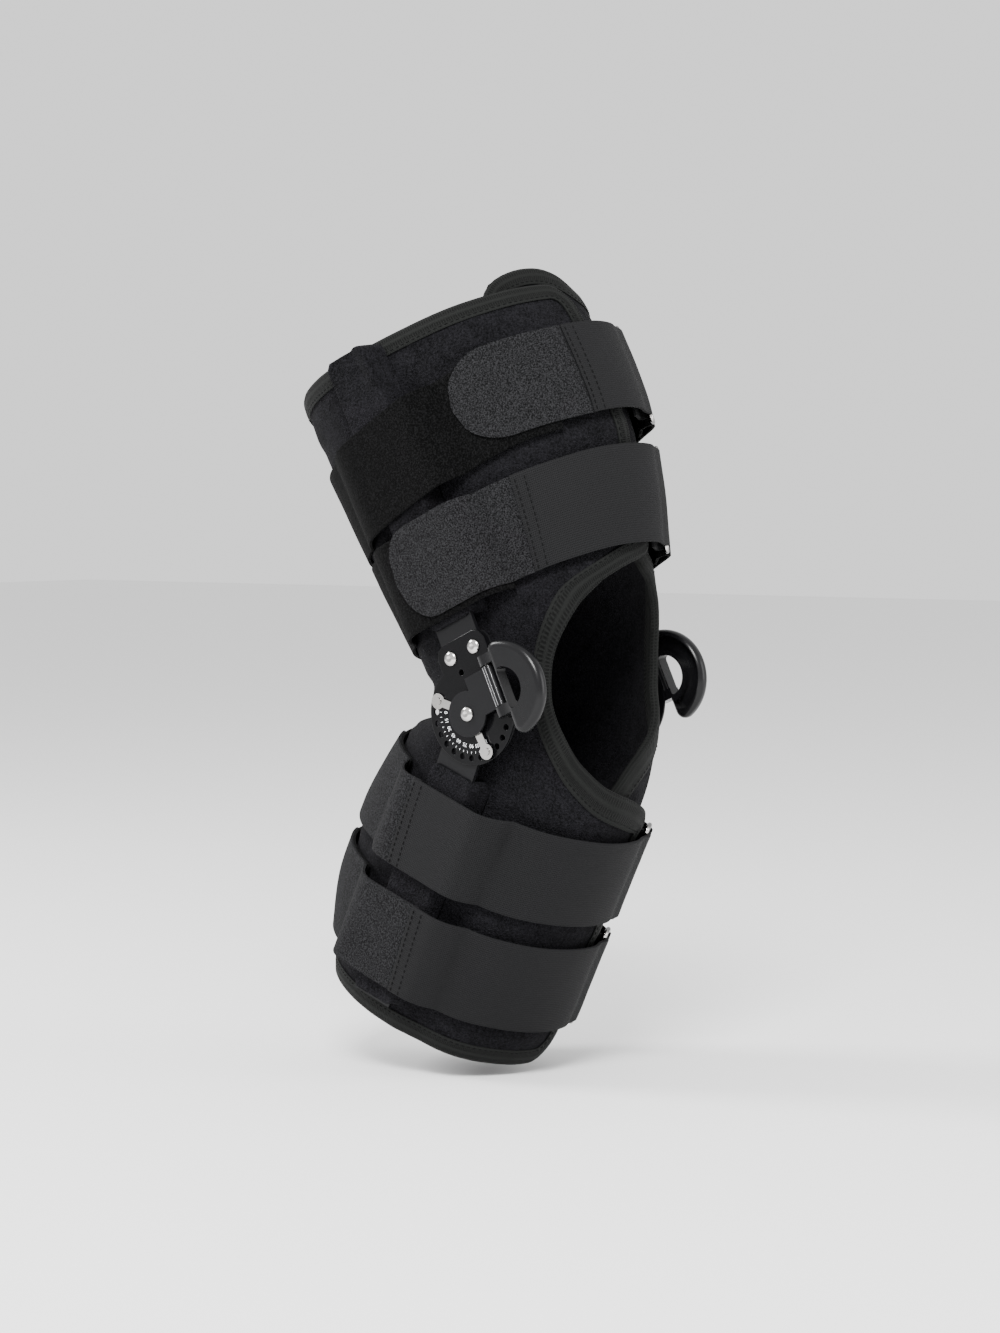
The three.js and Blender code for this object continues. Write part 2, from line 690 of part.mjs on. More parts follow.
function stopPointer(side, degrees, from) {
  const [hx, hy] = spotOnDial(degrees, holeCircle - 1);
  const arm = new THREE.Vector2(hx, hy).normalize();
  const across = new THREE.Vector2(-arm.y, arm.x).multiplyScalar(2.4);
  const tip = arm.clone().multiplyScalar(holeCircle - 2);
  const strip = plate(new THREE.Shape([across.clone(), tip.clone().add(across),
    tip.clone().sub(across), across.clone().negate()]), side, from, from + pointerWall);
  const hub = plate(disc(0, 0, pointerHub, 12), side, from, from + pointerWall);
  const head = plate(disc(hx, hy, pointerHead, 10), side, from, from + pointerWall);
  const bore = plate(disc(0, 0, pivotRadius + boreGap, 10), side, from - 1, from + 2);
  return cut(join(strip, hub, head), bore);
}

// A domed rivet through the stack, turned about its own axis
function rivet(side, [forward, along], shaft, from, to) {
  const dome = 1.8;
  const tail = 0.9;
  const profile = [[0, from - tail], [shaft + 1.2, from - tail], [shaft + 1.2, from],
    [shaft, from], [shaft, to], [rivetHead, to], [0.75 * rivetHead, to + 0.75 * dome],
    [0, to + dome]];
  const turned = new THREE.LatheGeometry(profile.map(([r, z]) => new THREE.Vector2(r, z)), 10);
  const at = turned.getAttribute('position');
  for (let i = 0; i < at.count; i += 1) {
    const p = limbPoint('thigh', side, forward + at.getX(i), along + at.getZ(i), at.getY(i));
    at.setXYZ(i, p.x, p.y, p.z);
  }
  return outward(turned);
}

const pointerAngles = { upper: -15, lower: 120 };

[[-1, 'lateral'], [1, 'medial']].forEach(([side, name]) => {
  armPieces(side, name);
  addPiece(`pocket_thigh_${name}`, pocket('thigh', side), 'fabric');
  addPiece(`pocket_calf_${name}`, pocket('calf', side), 'fabric');
  addPiece(`back_plate_${name}`, backPlate(side), 'coated');
  addPiece(`dial_plate_${name}`, dialPlate(side), 'plastic');
  addPiece(`stop_pointer_upper_${name}`, stopPointer(side, pointerAngles.upper, pointerX), 'steel');
  addPiece(`stop_pointer_lower_${name}`, stopPointer(side, pointerAngles.lower,
    pointerX + pointerWall + layerGap), 'steel');
  addPiece(`cover_plate_${name}`, coverPlate(side), 'coated');
  addPiece(`lock_handle_${name}`, lockHandle(side), 'plastic');
  addPiece(`handle_pin_${name}`, pinBar(side, pinRadius, knuckleLow - earGap - earLength,
    knuckleLow + knuckleLength + earGap + earLength, 8), 'steel');
  addPiece(`pivot_rivet_${name}`, rivet(side, [0, 0], pivotRadius, hingeX - layerGap, headX), 'steel');
  rivetSpots.forEach((spot, i) => addPiece(`arm_rivet_${i ? 'front' : 'rear'}_${name}`,
    rivet(side, spot, rivetRadius, hingeX - layerGap, dialX + plateWall + layerGap), 'steel'));
});
straps.forEach(strapPieces);

export default assembly;
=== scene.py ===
import math

import bpy
import numpy as np
from mathutils import Matrix, Vector, noise


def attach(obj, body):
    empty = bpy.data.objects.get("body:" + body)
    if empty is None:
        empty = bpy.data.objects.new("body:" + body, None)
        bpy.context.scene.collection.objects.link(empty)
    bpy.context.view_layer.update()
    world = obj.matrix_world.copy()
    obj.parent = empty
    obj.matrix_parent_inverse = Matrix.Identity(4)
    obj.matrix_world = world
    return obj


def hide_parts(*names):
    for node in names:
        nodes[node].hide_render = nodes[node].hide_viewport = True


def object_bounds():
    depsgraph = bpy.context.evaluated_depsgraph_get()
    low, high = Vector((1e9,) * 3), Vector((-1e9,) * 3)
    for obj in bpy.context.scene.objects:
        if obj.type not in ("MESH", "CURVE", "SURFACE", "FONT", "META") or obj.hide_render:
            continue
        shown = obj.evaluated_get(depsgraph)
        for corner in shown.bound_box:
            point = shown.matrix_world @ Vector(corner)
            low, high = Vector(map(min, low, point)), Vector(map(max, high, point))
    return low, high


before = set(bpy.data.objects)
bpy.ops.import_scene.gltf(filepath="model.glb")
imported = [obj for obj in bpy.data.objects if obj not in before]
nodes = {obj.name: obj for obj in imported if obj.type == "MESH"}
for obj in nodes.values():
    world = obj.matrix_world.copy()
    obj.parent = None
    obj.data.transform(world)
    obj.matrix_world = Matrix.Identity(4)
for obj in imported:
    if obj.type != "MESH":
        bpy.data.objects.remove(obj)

cad_low, cad_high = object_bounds()
MM = 0.001

# Driving sizes, in millimetres and degrees
THIGH_TILT = 25
CALF_TILT = 22
THIGH = 205
CALF = 188
KNEE_HALF = 60
KNEE_DEPTH = 70
BEND = 40
WRAP_WALL = 3.5
LAP_LIFT = 5.9
TAPE_WIDTH = 9
TAPE_WALL = 0.8
STRAP_WIDTH = 52
STRAP_WALL = 1.8
POCKET_WIDTH = 38
POCKET_PLY = 1.2
ARM_WALL = 2.5
ARM_SLACK = 0.5
HINGE_X = 66
PLATE = 1.5
DIAL_RADIUS = 28
HOLE_CIRCLE = 24
COVER_RADIUS = 12.5
KNUCKLE_FORWARD = 24
KNUCKLE_RADIUS = 3.2
HANDLE_RADIUS = 27.4
PIVOT_BORE = 3.3
RIVET_BORE = 2.3
PIN_BORE = 1.7
PIN_RADIUS = 1.4
SIDES = {"lateral": -1, "medial": 1}

# The dial stack, outwards from the leg
ARM_X = HINGE_X + PLATE + 0.3 + ARM_WALL / 2
DIAL_X = ARM_X + ARM_WALL / 2 + 0.3
POINTER_X = DIAL_X + PLATE + 0.3
COVER_X = POINTER_X + 2.2
PIN_X = COVER_X + PLATE / 2 + 1


def clamp(t):
    return min(1.0, max(0.0, t))


def smooth(t):
    t = clamp(t)
    return t * t * (3 - 2 * t)


def column_curve(table, name):
    """A smooth curve through one column of a table, over its length column."""
    xs = [row["v"] for row in table]
    ys = [row[name] for row in table]
    steps = [(ys[i + 1] - ys[i]) / (xs[i + 1] - xs[i]) for i in range(len(xs) - 1)]
    slopes = [steps[0]]
    for a, b in zip(steps, steps[1:]):
        slopes.append(0.0 if a * b <= 0 else 2 * a * b / (a + b))
    slopes.append(steps[-1])

    def at(v):
        v = min(xs[-1], max(xs[0], v))
        k = 0
        while k < len(xs) - 2 and v > xs[k + 1]:
            k += 1
        h = xs[k + 1] - xs[k]
        t = (v - xs[k]) / h
        return (
            ys[k] * (1 + 2 * t) * (1 - t) ** 2
            + slopes[k] * h * t * (1 - t) ** 2
            + ys[k + 1] * t * t * (3 - 2 * t)
            + slopes[k + 1] * h * t * t * (t - 1)
        )

    return at


def share_table(columns, rows):
    """Rows of shares, with the first column turned into a distance up or down the leg."""
    table = [dict(zip(columns, row)) for row in rows]
    for row in table:
        row["v"] = row["up"] * (CALF if row["up"] < 0 else THIGH)
    return table


# Sections of the wrap: half width in knee half widths, front and back in knee depths
SECTIONS = share_table(("up", "half", "front", "back"), [
    (-1.000, 0.917, 0.80, 1.07), (-0.904, 0.967, 0.83, 1.14), (-0.691, 1.017, 0.86, 1.26),
    (-0.479, 1.033, 0.89, 1.23), (-0.266, 1.017, 0.93, 1.10), (-0.117, 1.000, 0.98, 0.97),
    (-0.043, 1.000, 1.00, 0.83), (0.015, 1.000, 1.02, 0.69), (0.078, 1.000, 1.08, 0.77),
    (0.244, 1.050, 1.24, 0.81), (0.439, 1.150, 1.42, 0.86), (0.683, 1.250, 1.55, 0.91),
    (0.854, 1.300, 1.53, 0.94), (1.000, 1.333, 1.45, 0.94),
])
half_at = column_curve(SECTIONS, "half")
front_at = column_curve(SECTIONS, "front")
back_at = column_curve(SECTIONS, "back")

# Angles at which the under flap starts and the outer flap ends
FLAPS = share_table(("up", "under", "outer"), [
    (-1.000, -27, 4), (-0.955, -30, 14), (-0.850, -30, 18), (-0.479, -30, 18),
    (-0.240, -28, 18), (-0.197, -23, 17), (-0.176, -18, 9), (-0.158, -14, -5),
    (-0.142, -11, -20), (-0.120, -7, -30), (-0.095, -1, -38), (-0.064, 10, -44),
    (-0.030, 30, -49), (0.028, 44, -53), (0.080, 45, -53), (0.117, 42, -50),
    (0.151, 35, -44), (0.178, 28, -36), (0.200, 19, -24), (0.222, 10, -12),
    (0.244, 5, 3), (0.276, -8, 7), (0.322, -20, 7), (0.380, -31, 5), (0.470, -37, 2),
    (0.600, -38, 0), (0.890, -38, -2), (0.960, -36, -3), (1.000, -31, -9),
])
under_at = column_curve(FLAPS, "under")
outer_at = column_curve(FLAPS, "outer")

BEND_TOTAL = math.radians(THIGH_TILT + CALF_TILT)
BEND_RADIUS = 2 * BEND / BEND_TOTAL
BEND_TANGENT = BEND_RADIUS * math.tan(BEND_TOTAL / 2)


def front_of(a):
    return Vector((0, -math.cos(a), math.sin(a)))


def up_of(a):
    return Vector((0, math.sin(a), math.cos(a)))


BEND_CENTRE = (up_of(-math.radians(CALF_TILT)) * -BEND_TANGENT
               - front_of(-math.radians(CALF_TILT)) * BEND_RADIUS)


def leg_point(angle, v, height):
    """A point of the leg form in metres: angle round the leg, distance up it, height over it."""
    low = -math.radians(CALF_TILT)
    turn = min(math.radians(THIGH_TILT), max(low, low + (v + BEND) / BEND_RADIUS))
    past = math.copysign(max(0.0, abs(v) - BEND), v)
    t = math.radians(angle)
    c, s = math.cos(t), math.sin(t)
    depth = (front_at(v) if c > 0 else back_at(v)) * KNEE_DEPTH
    point = BEND_CENTRE + front_of(turn) * (BEND_RADIUS + (depth + height) * c) + up_of(turn) * past
    point.x += (half_at(v) * KNEE_HALF + height) * s
    return point * MM


# Where the outer flap starts to climb over the under one, and in how many degrees it does
LAP_START, LAP_RUN = 284, 34


def lap_height(angle):
    return LAP_LIFT * smooth((angle - LAP_START) / LAP_RUN)


# The hump of the under flap's top edge: its height in mm, its start and spread in degrees
HUMP_RISE, HUMP_START, HUMP_SPREAD = 13, -40, 52


def top_rise(angle, v):
    t = clamp((angle - HUMP_START) / HUMP_SPREAD)
    if not 0 < t < 1:
        return 0
    return HUMP_RISE * math.sin(math.pi * t) ** 0.7 * smooth((v / THIGH - 0.73) / 0.27)


# Straps: low edge, and the angles of the ring, the lap seam, the tab's and the base band's end
STRAPS = [
    dict(name="thigh_upper", low=0.610 * THIGH, ring=25, seam=345, tab=300, base=330, shift=-4),
    dict(name="thigh_lower", low=0.264 * THIGH, ring=27, seam=312, tab=260, base=300, shift=-3),
    dict(name="calf_upper", low=-0.516 * CALF, ring=27, seam=260, tab=182, base=240, shift=0),
    dict(name="calf_lower", low=-0.872 * CALF, ring=27, seam=275, tab=180, base=240, shift=0),
]


def lump(x, y, z, scale, seed=0.0):
    return noise.noise(Vector((x * scale + seed, y * scale, z * scale)))


# The folds behind the knee: their depth, their pitch, and how far they reach up and down
CREASE_DEPTH, CREASE_PITCH, CREASE_REACH = 2.4, 5.2, 26
FORM_RADIUS = 70
STRAP_SQUEEZE = 1.0


def relief(angle, v):
    """The soft wrap's own swells and folds, pressed flat and in under the straps."""
    t = math.radians(angle)
    x, y = FORM_RADIUS * math.sin(t), FORM_RADIUS * math.cos(t)
    height = 0.9 * lump(x, y, v, 0.03) + 0.35 * lump(x, y, v, 0.09, 7)
    back = smooth((-math.cos(t) - 0.05) / 0.6)
    wave = math.sin((v + 6 * lump(x, y, v, 0.02, 3)) / CREASE_PITCH)
    height += back * CREASE_DEPTH * wave * math.exp(-(v / CREASE_REACH) ** 2)
    squeeze = 0.0
    for strap in STRAPS:
        middle = strap["low"] + STRAP_WIDTH / 2
        away = abs(v - middle) / (STRAP_WIDTH / 2)
        squeeze = max(squeeze, smooth((1.25 - away) / 0.35))
    return height * (1 - 0.75 * squeeze) - STRAP_SQUEEZE * squeeze


def arc_points(x, y, radius, start, end, count):
    return [(x + radius * math.cos(math.radians(start + (end - start) * i / count)),
             y + radius * math.sin(math.radians(start + (end - start) * i / count)))
            for i in range(count + 1)]


def select_only(obj):
    bpy.ops.object.select_all(action="DESELECT")
    obj.select_set(True)
    bpy.context.view_layer.objects.active = obj


def apply_all(obj):
    select_only(obj)
    for modifier in list(obj.modifiers):
        bpy.ops.object.modifier_apply(modifier=modifier.name)


def add_modifier(obj, kind, **settings):
    modifier = obj.modifiers.new(kind.lower(), kind)
    for key, value in settings.items():
        setattr(modifier, key, value)
    apply_all(obj)


def smooth_shade(obj, degrees):
    select_only(obj)
    bpy.ops.object.shade_smooth_by_angle(angle=math.radians(degrees))


def sheet_mesh(name, columns, rows, place, size):
    """A grid laid out by place(u, w), with a UV map in millimetres."""
    bpy.ops.object.select_all(action="DESELECT")
    bpy.ops.mesh.primitive_grid_add(x_subdivisions=columns, y_subdivisions=rows, size=2)
    obj = bpy.context.object
    obj.name = name
    layer = obj.data.uv_layers.active.data
    where = {}
    for vert in obj.data.vertices:
        u, w = (vert.co.x + 1) / 2, (vert.co.y + 1) / 2
        where[vert.index] = (u, w)
        vert.co = place(u, w)
    for loop in obj.data.loops:
        u, w = where[loop.vertex_index]
        layer[loop.index].uv = (u * size[0], w * size[1])
    return obj


def flip_faces(obj):
    select_only(obj)
    bpy.ops.object.mode_set(mode="EDIT")
    bpy.ops.mesh.select_all(action="SELECT")
    bpy.ops.mesh.flip_normals()
    bpy.ops.object.mode_set(mode="OBJECT")


def wall_sheet(obj, wall, offset=-1, bevel=0.0):
    """Give a sheet its thickness, and round its edges where bevel is a width."""
    add_modifier(obj, "SOLIDIFY", thickness=wall * MM, offset=offset)
    if bevel:
        add_modifier(obj, "BEVEL", width=bevel * MM, segments=2, limit_method="ANGLE",
                     angle_limit=math.radians(50))
    smooth_shade(obj, 50)


def dress(obj, material, slot, body="root", replaced=()):
    obj.data.materials.clear()
    obj.data.materials.append(material)
    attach(obj, body)
    if replaced:
        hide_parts(*replaced)


# Shader groups
def new_group(name, inputs, outputs):
    tree = bpy.data.node_groups.new(name, "ShaderNodeTree")
    for label, kind, value in inputs:
        socket = tree.interface.new_socket(name=label, in_out="INPUT", socket_type=kind)
        if value is not None:
            socket.default_value = value
    for label, kind in outputs:
        tree.interface.new_socket(name=label, in_out="OUTPUT", socket_type=kind)
    return tree, tree.nodes.new("NodeGroupInput"), tree.nodes.new("NodeGroupOutput")


def add_math(tree, operation, a, b=None):
    node = tree.nodes.new("ShaderNodeMath")
    node.operation = operation
    for i, value in enumerate((a, b)):
        if value is None:
            continue
        if isinstance(value, (int, float)):
            node.inputs[i].default_value = value
        else:
            tree.links.new(value, node.inputs[i])
    return node.outputs[0]


def add_noise(tree, vector, scale, detail, rough=0.55):
    node = tree.nodes.new("ShaderNodeTexNoise")
    node.inputs["Detail"].default_value = detail
    node.inputs["Roughness"].default_value = rough
    tree.links.new(vector, node.inputs["Vector"])
    if isinstance(scale, (int, float)):
        node.inputs["Scale"].default_value = scale
    else:
        tree.links.new(scale, node.inputs["Scale"])
    return node.outputs["Fac"]


def make_pile_group():
    """Brushed loop pile: matted tufts over a woven ground, from Object coordinates."""
    tree, inside, outside = new_group("loop_pile", [
        ("Vector", "NodeSocketVector", None), ("Tuft Scale", "NodeSocketFloat", 900.0),
        ("Fleck Scale", "NodeSocketFloat", 900.0)],
        [("Height", "NodeSocketFloat"), ("Tone", "NodeSocketFloat"), ("Fleck", "NodeSocketFloat")])
    vector = inside.outputs["Vector"]
    fine = tree.nodes.new("ShaderNodeTexVoronoi")
    tree.links.new(vector, fine.inputs["Vector"])
    tree.links.new(inside.outputs["Tuft Scale"], fine.inputs["Scale"])
    matted = add_noise(tree, vector, 160, 4, 0.7)
    broad = add_noise(tree, vector, 28, 3)
    height = add_math(tree, "ADD", add_math(tree, "MULTIPLY", fine.outputs["Distance"], 0.5), matted)
    tree.links.new(height, outside.inputs["Height"])
    fleck = add_noise(tree, vector, inside.outputs["Fleck Scale"], 1, 0.6)
    tone = add_math(tree, "ADD", add_math(tree, "MULTIPLY", matted, 0.3),
                    add_math(tree, "MULTIPLY", broad, 0.2))
    tone = add_math(tree, "ADD", tone, add_math(tree, "MULTIPLY", fleck, 0.5))
    tree.links.new(tone, outside.inputs["Tone"])
    tree.links.new(fleck, outside.inputs["Fleck"])
    return tree


def make_rib_group():
    """Woven ribs that follow the piece's own UV map, in millimetres."""
    tree, inside, outside = new_group("woven_ribs", [
        ("Vector", "NodeSocketVector", None), ("Across", "NodeSocketFloat", 0.8),
        ("Along", "NodeSocketFloat", 0.8)],
        [("Height", "NodeSocketFloat"), ("Tone", "NodeSocketFloat")])
    split = tree.nodes.new("ShaderNodeSeparateXYZ")
    tree.links.new(inside.outputs["Vector"], split.inputs[0])

    def wave(value, pitch):
        turns = add_math(tree, "MULTIPLY", add_math(tree, "DIVIDE", value, pitch), 2 * math.pi)
        return add_math(tree, "MULTIPLY", add_math(tree, "ADD", add_math(tree, "SINE", turns), 1), 0.5)

    u = wave(split.outputs["X"], inside.outputs["Along"])
    w = wave(split.outputs["Y"], inside.outputs["Across"])
    fuzz = add_noise(tree, inside.outputs["Vector"], 2.2, 3)
    weave = add_math(tree, "MAXIMUM", u, w)
    tree.links.new(add_math(tree, "ADD", weave, add_math(tree, "MULTIPLY", fuzz, 0.35)),
                   outside.inputs["Height"])
    tree.links.new(add_math(tree, "MULTIPLY", add_math(tree, "ADD", weave, fuzz), 0.5),
                   outside.inputs["Tone"])
    return tree


def make_wear_group():
    """Fine marks and dulled patches on coated metal and plastic, from Object coordinates."""
    tree, inside, outside = new_group("surface_wear", [
        ("Vector", "NodeSocketVector", None), ("Base", "NodeSocketFloat", 0.3),
        ("Spread", "NodeSocketFloat", 0.1)],
        [("Roughness", "NodeSocketFloat"), ("Height", "NodeSocketFloat")])
    cloud = add_noise(tree, inside.outputs["Vector"], 90, 4)
    grain = add_noise(tree, inside.outputs["Vector"], 2200, 2)
    shift = add_math(tree, "MULTIPLY", add_math(tree, "SUBTRACT", cloud, 0.5), inside.outputs["Spread"])
    tree.links.new(add_math(tree, "ADD", inside.outputs["Base"], shift), outside.inputs["Roughness"])
    tree.links.new(add_math(tree, "ADD", grain, cloud), outside.inputs["Height"])
    return tree


PILE = make_pile_group()
RIBS = make_rib_group()
WEAR = make_wear_group()


def start_material(name, metallic=0.0, roughness=0.5, **sockets):
    material = bpy.data.materials.new(name)
    material.use_nodes = True
    shader = material.node_tree.nodes["Principled BSDF"]
    shader.inputs["Metallic"].default_value = metallic
    shader.inputs["Roughness"].default_value = roughness
    for key, value in sockets.items():
        shader.inputs[key.replace("_", " ")].default_value = value
    return material, material.node_tree, shader


def place_group(tree, group, coordinates, **values):
    node = tree.nodes.new("ShaderNodeGroup")
    node.node_tree = group
    source = tree.nodes.new("ShaderNodeTexCoord")
    tree.links.new(source.outputs[coordinates], node.inputs["Vector"])
    for key, value in values.items():
        node.inputs[key.replace("_", " ")].default_value = value
    return node


def tone_ramp(tree, fac, dark, light, low=0.3, high=0.75):
    ramp = tree.nodes.new("ShaderNodeValToRGB")
    ramp.color_ramp.elements[0].position = low
    ramp.color_ramp.elements[1].position = high
    ramp.color_ramp.elements[0].color = (*dark, 1)
    ramp.color_ramp.elements[1].color = (*light, 1)
    tree.links.new(fac, ramp.inputs["Fac"])
    return ramp.outputs["Color"]


def add_bump(tree, shader, height, strength, distance):
    bump = tree.nodes.new("ShaderNodeBump")
    bump.inputs["Strength"].default_value = strength
    bump.inputs["Distance"].default_value = distance
    tree.links.new(height, bump.inputs["Height"])
    tree.links.new(bump.outputs["Normal"], shader.inputs["Normal"])


def pile_material(name, dark, light, tuft, depth, sheen, fleck, tone="Tone", low=0.36,
                  high=0.62):
    material, tree, shader = start_material(name, roughness=0.95, Sheen_Weight=sheen,
                                            Sheen_Roughness=0.55, Specular_IOR_Level=0.06)
    group = place_group(tree, PILE, "Object", Tuft_Scale=tuft, Fleck_Scale=fleck)
    tree.links.new(tone_ramp(tree, group.outputs[tone], dark, light, low, high),
                   shader.inputs["Base Color"])
    add_bump(tree, shader, group.outputs["Height"], 0.9, depth)
    return material


def rib_material(name, dark, light, across, along, depth, roughness, sheen):
    material, tree, shader = start_material(name, roughness=roughness, Sheen_Weight=sheen,
                                            Sheen_Roughness=0.4, Specular_IOR_Level=0.12)
    group = place_group(tree, RIBS, "UV", Across=across, Along=along)
    tree.links.new(tone_ramp(tree, group.outputs["Tone"], dark, light), shader.inputs["Base Color"])
    add_bump(tree, shader, group.outputs["Height"], 0.8, depth)
    return material


WEAR_DEPTH = 0.00002


def hard_material(name, colour, metallic, base, spread, **sockets):
    material, tree, shader = start_material(name, metallic=metallic, **sockets)
    shader.inputs["Base Color"].default_value = (*colour, 1)
    group = place_group(tree, WEAR, "Object", Base=base, Spread=spread)
    tree.links.new(group.outputs["Roughness"], shader.inputs["Roughness"])
    add_bump(tree, shader, group.outputs["Height"], 0.25, WEAR_DEPTH)
    return material


def polished_material(name, face, rim):
    """Polished metal whose base colour is painted darker where it turns away: a painted reflection of
    darker surroundings.
    """
    material = hard_material(name, face, metallic=1.0, base=0.14, spread=0.08)
    tree = material.node_tree
    # Painted reflection: the base colour runs from face to the darker rim as the surface turns away
    weight = tree.nodes.new("ShaderNodeLayerWeight")
    weight.inputs["Blend"].default_value = 0.5
    ramp = tone_ramp(tree, weight.outputs["Facing"], face, rim, 0.12, 0.75)
    tree.links.new(ramp, tree.nodes["Principled BSDF"].inputs["Base Color"])
    return material


# The brace's own fabrics, metals and plastics, and the steel of the knuckle's painted highlight bars
wrap_pile = pile_material("wrap_pile", dark=(0.0009, 0.0009, 0.0011),
                          light=(0.0092, 0.0089, 0.0106), tuft=1100, depth=0.0012, sheen=0.005,
                          fleck=850)
loop_pile = pile_material("strap_loop_pile", dark=(0.0004, 0.0004, 0.0004),
                          light=(0.0048, 0.0048, 0.005), tuft=1500, depth=0.0008, sheen=0.004,
                          fleck=1000, tone="Fleck", low=0.42, high=0.68)
hook_weave = pile_material("hook_weave", dark=(0.0026, 0.0026, 0.0028),
                           light=(0.0215, 0.0215, 0.023), tuft=2300, depth=0.0005, sheen=0.006,
                           fleck=1300, tone="Fleck", low=0.36, high=0.70)
tape_rib = rib_material("edge_tape_rib", dark=(0.0010, 0.0011, 0.0010),
                        light=(0.0062, 0.0067, 0.0062), across=3.0, along=1.1, depth=0.0004,
                        roughness=0.8, sheen=0.006)
elastic_rib = rib_material("elastic_rib", dark=(0.0020, 0.0020, 0.0022),
                           light=(0.0074, 0.0074, 0.0080), across=1.15, along=0.7,
                           depth=0.00022, roughness=0.75, sheen=0.004)
thread = rib_material("stitch_thread", dark=(0.0004, 0.0004, 0.0005),
                      light=(0.0015, 0.0015, 0.0017), across=0.5, along=0.5, depth=0.0001,
                      roughness=0.8, sheen=0.0)
coated = hard_material("satin_black_metal", (0.004, 0.004, 0.0046), metallic=0.0, base=0.36,
                       spread=0.14, Specular_IOR_Level=0.16)
glossy = hard_material("glossy_black_dial", (0.003, 0.003, 0.0034), metallic=0.0, base=0.16,
                       spread=0.08, Specular_IOR_Level=0.14)
plastic = hard_material("moulded_black_plastic", (0.004, 0.004, 0.0045), metallic=0.0, base=0.26,
                        spread=0.12, Specular_IOR_Level=0.22)
# Nickel and steel whose colour is painted darker at grazing angles, a painted reflection
bright = polished_material("bright_nickel", (0.56, 0.545, 0.53), (0.04, 0.04, 0.042))
# Bright steel for the knuckle's bars, which are painted highlights
knuckle_highlight_steel = polished_material("knuckle_highlight_steel", (0.36, 0.36, 0.37), (0.05, 0.05, 0.055))
white_print = hard_material("white_print", (0.75, 0.76, 0.78), metallic=0.0, base=0.5,
                            spread=0.1)

# Camera at the photo's angle: lens and place in the photo's 1000 by 1333 frame
PHOTO_WIDTH, PHOTO_HEIGHT = 1000, 1333
CAMERA_DISTANCE = 2.0
PIXELS_PER_METRE = 1800
KNEE_PIXEL = (550.5, 707.0)
VIEW_AZIMUTH, VIEW_ELEVATION = math.radians(-53), math.radians(3)
SENSOR = 36


def make_camera():
    back = Vector((math.sin(VIEW_AZIMUTH) * math.cos(VIEW_ELEVATION),
                   -math.cos(VIEW_AZIMUTH) * math.cos(VIEW_ELEVATION), math.sin(VIEW_ELEVATION)))
    right = Vector((0, 0, 1)).cross(back).normalized()
    up = back.cross(right)
    across = (KNEE_PIXEL[0] - PHOTO_WIDTH / 2) / PIXELS_PER_METRE
    down = (KNEE_PIXEL[1] - PHOTO_HEIGHT / 2) / PIXELS_PER_METRE
    bpy.ops.object.camera_add(location=back * CAMERA_DISTANCE - right * across + up * down)
    camera = bpy.context.object
    camera.rotation_euler = back.to_track_quat("Z", "Y").to_euler()
    camera.data.sensor_width = SENSOR
    camera.data.lens = SENSOR * PIXELS_PER_METRE * CAMERA_DISTANCE / PHOTO_HEIGHT
    bpy.context.scene.camera = camera


make_camera()


# The wrap: its rows lie close together where the kneecap opening's edge runs level
LEVEL_BANDS = ((-46, -14), (32, 62))
CLOSE_ROW, WIDE_ROW = 0.9, 3.2


def dense_rows():
    rows = []
    v = -CALF
    while v < THIGH:
        rows.append(v)
        v += CLOSE_ROW if any(low < v < high for low, high in LEVEL_BANDS) else WIDE_ROW
    return rows + [THIGH]


WRAP_ROWS = dense_rows()
WRAP_COLUMNS = 150
# Size of the wrap's UV map in millimetres
WRAP_MAP = (470, 400)

# Each flap takes this share of the columns, and the rest runs from one to the other
FLAP_SHARE = 0.2
UNDER_ROOT, OUTER_ROOT = 60, 285


def wrap_angle(u, v):
    start, end = under_at(v), 360 + outer_at(v)
    if u < FLAP_SHARE:
        return start + (UNDER_ROOT - start) * u / FLAP_SHARE
    if u < 1 - FLAP_SHARE:
        return UNDER_ROOT + (OUTER_ROOT - UNDER_ROOT) * (u - FLAP_SHARE) / (1 - 2 * FLAP_SHARE)
    return OUTER_ROOT + (end - OUTER_ROOT) * (u - (1 - FLAP_SHARE)) / FLAP_SHARE


def wrap_height(angle, v):
    return lap_height(angle) + relief(angle, v)


def wrap_place(u, w):
    v = WRAP_ROWS[round(w * (len(WRAP_ROWS) - 1))]
    angle = wrap_angle(u, v)
    return leg_point(angle, v + top_rise(angle, v), wrap_height(angle, v))


def make_wrap():
    wrap = sheet_mesh("padded_wrap", WRAP_COLUMNS, len(WRAP_ROWS) - 1, wrap_place, WRAP_MAP)
    wall_sheet(wrap, WRAP_WALL)
    dress(wrap, wrap_pile, "wrap_fabric", replaced=["wrap"])


make_wrap()


def edge_loop():
    """The wrap's whole outline once round: angle, distance up the leg, and its row's distance."""
    last = len(WRAP_ROWS) - 1
    bottom = [(wrap_angle(i / WRAP_COLUMNS, -CALF), -CALF) for i in range(WRAP_COLUMNS + 1)]
    top = [(wrap_angle(i / WRAP_COLUMNS, THIGH), THIGH) for i in range(WRAP_COLUMNS + 1)]
    outer = [(wrap_angle(1, v), v) for v in WRAP_ROWS[1:last]]
    under = [(wrap_angle(0, v), v) for v in WRAP_ROWS[1:last]]
    loop = bottom + outer + top[::-1] + under[::-1]
    return [(angle, v + top_rise(angle, v), v) for angle, v in loop]


def scale_at(angle, v):
    return (leg_point(angle + 0.5, v, 0) - leg_point(angle - 0.5, v, 0)).length / MM


def smooth_loop(points, rounds):
    for _ in range(rounds):
        count = len(points)
        points = [tuple((points[i - 1][k] + 2 * points[i][k] + points[(i + 1) % count][k]) / 4
                        for k in range(3)) for i in range(count)]
    return points


